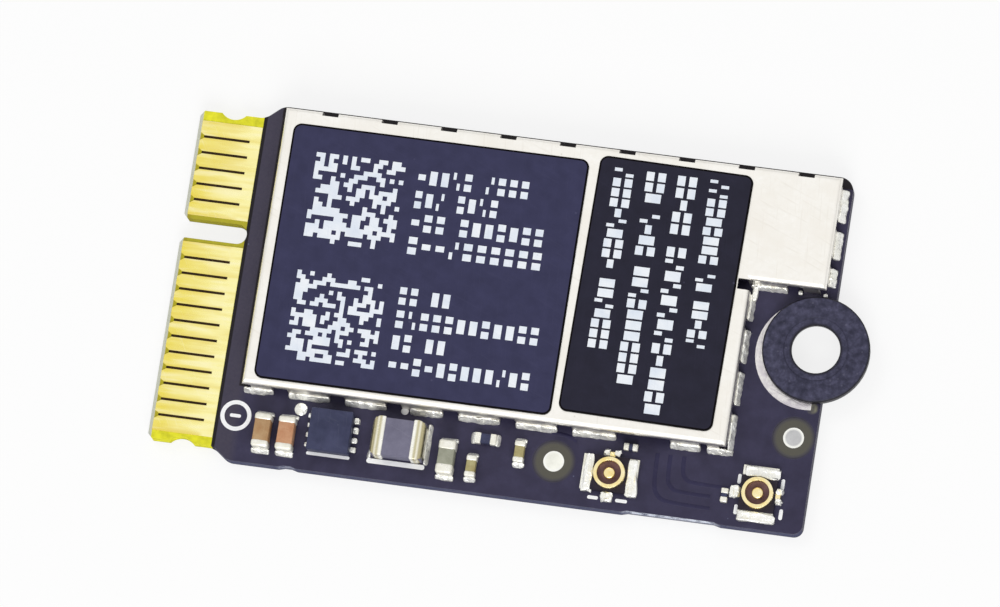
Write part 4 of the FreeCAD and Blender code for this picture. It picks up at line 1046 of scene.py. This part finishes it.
def makeSocketSolder(letter, sizes):
    beads = []
    for number, spot in enumerate(sizes["beads"][letter] + sizes["beads"]["both"]):
        left, right, farLeft, farRight, low, high, height = (side * mm for side in spot)
        bead = addBox("socketBead", (left, low, 0), (right, high, height))
        pickCorners(bead, lambda corner: corner.y > (low + high) / 2)
        middle = (left + right) / 2
        bpy.ops.transform.resize(
            value=((farRight - farLeft) / (right - left), 1, 1), center_override=(middle, 0, 0))
        bpy.ops.transform.translate(value=((farLeft + farRight) / 2 - middle, 0, 0))
        closeMesh()
        meltSolder(bead, sizes["cuts"], sizes["jitter"], sizes["seeds"][letter] + number)
        bead.rotation_euler.z = sizes["turns"][letter]
        bead.location = (ports[letter].x, ports[letter].y, boardTop - sizes["sink"] * mm)
        beads.append(bead)
    settle(joinPieces(beads, "socketSolder" + letter.upper()), "solderTin", None, beadShade)


for letter in "ab":
    makeSocketShell(letter, socketSizes)
    makeSocketPin(letter, socketSizes)
    makeSocketSolder(letter, socketSizes)


# domes: a low dome of solder on the test pad, and a small printed dot by the shield

domeSizes = {
    "sides": 24, "steps": 3, "rise": 0.055, "easing": 1.5, "narrow": 0.78, "narrowMore": 0.14, "levels": 2,
    "overhang": 1.3, "dot": (-4.587, -5.09), "dotRadius": 0.21}


def makeDome(name, middle, radius, finish, node, sizes):
    dome = addDisc(middle, radius, sizes["sides"])
    openMesh(dome, "FACE")
    bpy.ops.mesh.select_all(action="SELECT")
    for step in range(sizes["steps"]):  # each step rises less and is narrower
        rise = sizes["rise"] * mm / (step + sizes["easing"])
        share = sizes["narrow"] - sizes["narrowMore"] * step
        bpy.ops.mesh.extrude_region_move(TRANSFORM_OT_translate={"value": (0, 0, rise)})
        bpy.ops.transform.resize(value=(share, share, 1), center_override=middle)
    closeMesh()
    smooth(dome, sizes["levels"])
    dome.name = name
    settle(dome, finish, node, beadShade)


padLow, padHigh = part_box("test_pad")
padRadius = (padHigh.x - padLow.x) / 2 * domeSizes["overhang"]
makeDome("testDome", (padLow + padHigh) / 2, padRadius, "solderTin", "test_pad", domeSizes)
dotMiddle = Vector((domeSizes["dot"][0] * mm, domeSizes["dot"][1] * mm, boardTop))
makeDome("dotDome", dotMiddle, domeSizes["dotRadius"] * mm, "silkWhite", None, domeSizes)
print("regulator, sockets and test point done")


# labels: film with softened edges, let down by the thickness of its print

labelSizes = {
    "ink": 0.006, "edge": 0.02, "edgeAngle": 60, "rim": 0.09, "topReach": 0.01, "facing": 0.9, "highFirst": 10}


def makeLabel(node, name, sizes):
    film = copyOfNode(node, name)
    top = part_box(node)[1].z
    pickFaces(
        film, lambda spot, normal: normal.z > sizes["facing"] and spot.z > top - sizes["topReach"] * mm)
    bpy.ops.transform.translate(value=(0, 0, -sizes["ink"] * mm))
    bpy.ops.mesh.inset(thickness=sizes["rim"] * mm)
    closeMesh()
    field = max(  # the largest of the highest faces
        film.data.polygons, key=lambda face: face.center.z * sizes["highFirst"] + face.area).index
    wear(film, "filmRimShade", name)  # painted shade: the rim is the cut edge, painted near black as the dark shadow line along it
    for face in film.data.polygons:
        face.material_index = 1 if face.index == field else 0
    roundEdges(film, sizes["edge"] * mm, angle=sizes["edgeAngle"])
    settle(film, None, node)
    return top - sizes["ink"] * mm


mainTop = makeLabel("main_label", "mainFilm", labelSizes)
sideTop = makeLabel("side_label", "sideFilm", labelSizes)

markSizes = {
    "width": 0.5, "height": 0.7, "low": 0.56, "space": 0.9, "seed": 5,
    "mix": (0, 0, 0, 0, 1, 1, 1, 2, 3, 4),
    "kit": [  # columns, rows, kept cells of two bars, a block, a step up, a step down and a dash
        (1, 5, [(0, 0), (0, 1), (0, 3), (0, 4)]), (1, 1, [(0, 0)]),
        (5, 5, [(0, 0), (0, 1), (1, 0), (1, 1), (3, 3), (3, 4), (4, 3), (4, 4)]),
        (5, 5, [(0, 3), (0, 4), (1, 3), (1, 4), (3, 0), (3, 1), (4, 0), (4, 1)]), (1, 3, [(0, 1)])]}
mainPrint = {
    "left": -5.59, "height": 0.82, "fill": 0.62,
    "rows": [  # right end, middle height, marks in each word
        (-0.24, 5.62, (5, 4)), (-1.54, 4.55, (3, 4)), (0.76, 3.47, (3, 7)), (0.86, 2.37, (10,)),
        (-3.04, -0.03, (2, 2)), (1.26, -1.13, (12,)), (-2.94, -2.23, (2, 2)), (1.16, -3.28, (12,))],
    "blocks": [
        {"left": -10.34, "low": 1.98, "side": 4.2, "cells": 20, "seed": 11, "fill": 0.43},
        {"left": -10.34, "low": -3.62, "side": 4.2, "cells": 21, "seed": 23, "fill": 0.4}]}
sidePrint = {
    "top": 7.28, "height": 0.9, "fill": 0.82,
    "columns": [  # middle across, low end, marks in each word
        (8.36, -0.72, (9, 2, 5)), (6.86, -4.07, (5, 14)), (5.41, -2.82, (3, 4, 11)), (3.91, -1.32, (10, 7))]}


def addCells(columns, rows, middle, width, height, kept):  # a grid with only the kept cells, in millimetres
    deselectAll()
    bpy.ops.mesh.primitive_grid_add(
        x_subdivisions=columns, y_subdivisions=rows, size=1, location=(middle[0] * mm, middle[1] * mm, 0))
    cells = bpy.context.object
    cells.scale = (width * mm, height * mm, 1)
    applyTransform(cells)
    dropFaces(cells, lambda spot, normal: not kept(
        int(((spot.x / mm - middle[0]) / width + 0.5) * columns),
        int(((spot.y / mm - middle[1]) / height + 0.5) * rows)))
    thicken(cells, labelSizes["ink"])
    return cells


def makeMarkKit(sizes):  # plain shapes that stand for print
    kit = []
    for columns, rows, cells in sizes["kit"]:
        height = sizes["low"] if columns == rows == 1 else sizes["height"]
        kit.append(addCells(
            columns, rows, (0, 0), sizes["width"], height, lambda column, row: (column, row) in cells))
    return kit


def setRow(kit, look, length, words, chance):  # marks from 0 to length along x, in words
    space = markSizes["space"]
    pitch = length / (sum(words) + space * (len(words) - 1))
    marks = []
    along = 0.0
    for word in words:
        for _ in range(word):
            mark = copyPiece(kit[chance.choice(markSizes["mix"])], "mark")
            mark.location.x = (along + pitch / 2) * mm
            mark.scale.x = pitch * look["fill"] / markSizes["width"]
            mark.scale.y = look["height"] / markSizes["height"]
            marks.append(mark)
            along += pitch
        along += pitch * space
    return joinPieces(marks, "printRow")


def scatterCells(count, fill, chance):  # rows of kept and empty cells, where no two meet at a corner alone
    kept = [[chance.random() < fill for _ in range(count)] for _ in range(count)]
    changed = True
    while changed:
        changed = False
        for row in range(count - 1):
            for column in range(count - 1):
                left, right = kept[row][column:column + 2]
                if left != right and kept[row + 1][column:column + 2] == [right, left]:
                    kept[row][column:column + 2] = True, True
                    changed = True
    return kept


def makeBlock(block):  # a square of scattered cells
    kept = scatterCells(block["cells"], block["fill"], random.Random(block["seed"]))
    side = block["side"]
    middle = (block["left"] + side / 2, block["low"] + side / 2)
    return addCells(block["cells"], block["cells"], middle, side, side, lambda column, row: kept[row][column])


def makePrint():
    kit = makeMarkKit(markSizes)
    chance = random.Random(markSizes["seed"])
    parts = []
    for right, middle, words in mainPrint["rows"]:
        row = setRow(kit, mainPrint, right - mainPrint["left"], words, chance)
        row.location = (mainPrint["left"] * mm, middle * mm, mainTop)
        parts.append(row)
    for block in mainPrint["blocks"]:
        cells = makeBlock(block)
        cells.location.z = mainTop
        parts.append(cells)
    settle(joinPieces(parts, "mainPrint"), "printInk")
    parts = []
    for across, low, words in sidePrint["columns"]:
        column = setRow(kit, sidePrint, sidePrint["top"] - low, words, chance)
        column.rotation_euler.z = -math.pi / 2
        column.location = (across * mm, sidePrint["top"] * mm, sideTop)
        parts.append(column)
    settle(joinPieces(parts, "sidePrint"), "printInk")
    for mark in kit:
        bpy.data.objects.remove(mark)


makePrint()
print("labels and print done")


# board print: ring mark, bars under the regulator and the inductor, and corner marks round the sockets

silkSizes = {
    "rise": 0.012, "ring": (-12.32, -6.315), "ringRadius": 0.72, "ringBand": 0.19, "ringSides": 48, "barRound": 0.45,
    "bars": [  # left, right, low, high
        (-12.6, -12.08, -6.4, -6.24), (-8.82, -6.79, -7.69, -7.54), (-6.0, -3.29, -7.71, -7.48),
        (4.35, 4.85, -8.02, -7.86), (5.65, 6.2, -8.02, -7.86), (11.08, 11.24, -6.42, -5.96),
        (13.09, 13.25, -6.45, -5.95), (11.11, 11.27, -7.85, -7.39), (13.19, 13.36, -7.85, -7.35)]}


def makeBoardPrint(sizes):
    mark = addDisc(Vector(sizes["ring"]) * mm, sizes["ringRadius"] * mm, sizes["ringSides"])
    pickFaces(mark, lambda spot, normal: True)
    bpy.ops.mesh.inset(thickness=sizes["ringBand"] * mm)
    bpy.ops.mesh.delete(type="FACE")
    closeMesh()
    thicken(mark, sizes["rise"])
    parts = [mark]
    for left, right, low, high in sizes["bars"]:
        bar = addPlate(left, right, low, high, sizes["rise"])
        roundUprights(bar, sizes["barRound"] * min(right - left, high - low) * mm)
        parts.append(bar)
    settle(joinPieces(parts, "boardPrint"), "silkWhite")


makeBoardPrint(silkSizes)


# covered traces: copper under the mask shows as faint ridges beside the second socket

traceSizes = {
    "width": 0.2, "rise": 0.022, "sides": 2, "shade": 60,
    "runs": [
        [(7.26, -5.5), (7.26, -6.9), (7.5, -7.5), (8.1, -7.75), (10.0, -7.75)],
        [(7.86, -5.5), (7.86, -6.6), (8.05, -7.0), (8.5, -7.2), (9.95, -7.2)],
        [(8.5, -5.5), (8.5, -6.2), (8.7, -6.55), (9.1, -6.7), (10.9, -6.7)],
        [(2.3, -5.2), (3.2, -5.2), (3.5, -5.45)]]}


def makeTraces(sizes):
    parts = []
    for run in sizes["runs"]:
        curve = bpy.data.curves.new("trace", "CURVE")
        curve.dimensions = "3D"
        line = curve.splines.new("NURBS")
        line.points.add(len(run) - 1)
        for point, (x, y) in zip(line.points, run):
            point.co = (x * mm, y * mm, 0, 1)
        line.order_u = 3
        line.use_endpoint_u = True
        curve.bevel_depth = sizes["width"] / 2 * mm
        curve.bevel_resolution = sizes["sides"]
        curve.use_fill_caps = True
        trace = bpy.data.objects.new("trace", curve)
        bpy.context.scene.collection.objects.link(trace)
        pick(trace)
        bpy.ops.object.convert(target="MESH")
        trace = bpy.context.object
        trace.scale.z = sizes["rise"] * 2 / sizes["width"]
        trace.location.z = boardTop
        parts.append(trace)
    settle(joinPieces(parts, "coveredTraces"), "traceMask", None, sizes["shade"])


makeTraces(traceSizes)
print("board print and traces done")


# stage, light and camera

stageLook = {
    "side": 4.0, "drop": 0.02, "tone": (250, 250, 250), "second": (255, 255, 255), "grain": 3.0, "share": 0.1,
    "seeThrough": 0.3, "paperGlow": 0.8}
lightLook = {
    "world": 0.5, "seen": 1.0, "horizon": 0.62, "rise": (-0.05, 0.6),
    "lamps": [
        {"name": "softKey", "place": (0.12, -0.5, 0.45), "size": 0.4, "power": 2.4, "mirrored": True},
        {"name": "softFill", "place": (-0.3, 0.25, 0.55), "size": 0.3, "power": 0.8, "mirrored": False}]}
cameraLook = {
    "lens": 383.0, "sensor": 36.0, "place": (0.065515, -0.09956, 0.474876),
    "right": (0.98253, 0.15326, -0.10555), "up": (-0.12696, 0.96677, 0.22186), "back": (0.13605, -0.20458, 0.96934)}


def seenBy(tree, path):  # the rays that show the white background
    seen = maths(tree, "MAXIMUM", path["Is Camera Ray"], path["Is Glossy Ray"])
    return maths(tree, "MAXIMUM", seen, path["Is Transmission Ray"])


def makeFloor(look):
    deselectAll()
    bpy.ops.mesh.primitive_plane_add(size=look["side"], location=(0, 0, -look["drop"] * mm))
    floor = bpy.context.object
    floor.name = "floor"
    material = bpy.data.materials.new("paleFloor")
    material.use_nodes = True
    tree = material.node_tree
    tree.nodes.clear()
    place = tree.nodes.new("ShaderNodeTexCoord").outputs["Object"]
    noise = addNode(tree, "ShaderNodeTexNoise", {"Vector": place, "Scale": look["grain"]}).outputs[0]
    tone = twoTones(tree, times(tree, noise, look["share"]), look["tone"], look["second"])
    paper = addNode(tree, "ShaderNodeBsdfDiffuse", {"Color": tone})
    white = addNode(tree, "ShaderNodeEmission", {"Color": (1, 1, 1, 1), "Strength": 1.0})
    clear = tree.nodes.new("ShaderNodeBsdfTransparent")
    path = tree.nodes.new("ShaderNodeLightPath").outputs
    lift = times(tree, seenBy(tree, path), look["paperGlow"])  # seen directly, the paper is nearly white
    paper = addNode(tree, "ShaderNodeMixShader", {0: lift, 1: paper.outputs[0], 2: white.outputs[0]})
    near = maths(tree, "LESS_THAN", path["Ray Length"], look["seeThrough"] * mm)
    under = maths(tree, "MAXIMUM", tree.nodes.new("ShaderNodeNewGeometry").outputs["Backfacing"], near)
    mixed = addNode(tree, "ShaderNodeMixShader", {0: under, 1: paper.outputs[0], 2: clear.outputs[0]})
    output = tree.nodes.new("ShaderNodeOutputMaterial")
    tree.links.new(mixed.outputs[0], output.inputs["Surface"])
    floor.data.materials.append(material)


def makeLight(look):
    world = bpy.data.worlds.new("studio")
    bpy.context.scene.world = world
    world.use_nodes = True
    tree = world.node_tree
    tree.nodes.clear()
    path = tree.nodes.new("ShaderNodeLightPath").outputs
    level = axesOf(tree, tree.nodes.new("ShaderNodeTexCoord").outputs["Generated"])[2]
    gloss = span(tree, level, *look["rise"], look["horizon"], look["seen"])
    shown = maths(tree, "MAXIMUM", gloss, path["Is Camera Ray"])  # metal sees a darker room low down
    strength = addNode(tree, "ShaderNodeMix", {0: seenBy(tree, path), 2: look["world"], 3: shown}).outputs[0]
    sky = addNode(tree, "ShaderNodeBackground", {"Color": (1, 1, 1, 1), "Strength": strength})
    output = tree.nodes.new("ShaderNodeOutputWorld")
    tree.links.new(sky.outputs[0], output.inputs["Surface"])
    for lamp in look["lamps"]:
        light = bpy.data.lights.new(lamp["name"], "AREA")
        light.size = lamp["size"]
        light.energy = lamp["power"]
        holder = bpy.data.objects.new(lamp["name"], light)
        bpy.context.scene.collection.objects.link(holder)
        holder.visible_glossy = lamp["mirrored"]  # the level metal mirrors the pale room, not the fill
        holder.location = lamp["place"]
        holder.rotation_euler = (-Vector(lamp["place"])).to_track_quat("-Z", "Y").to_euler()


def makeCamera(look):
    camera = bpy.data.cameras.new("photoCamera")
    camera.lens = look["lens"]
    camera.sensor_width = look["sensor"]
    holder = bpy.data.objects.new("photoCamera", camera)
    bpy.context.scene.collection.objects.link(holder)
    turn = Matrix((look["right"], look["up"], look["back"])).transposed()
    holder.matrix_world = Matrix.Translation(look["place"]) @ turn.to_4x4()
    bpy.context.scene.camera = holder


makeFloor(stageLook)
makeLight(lightLook)
makeCamera(cameraLook)
bpy.context.scene.view_settings.view_transform = "Standard"
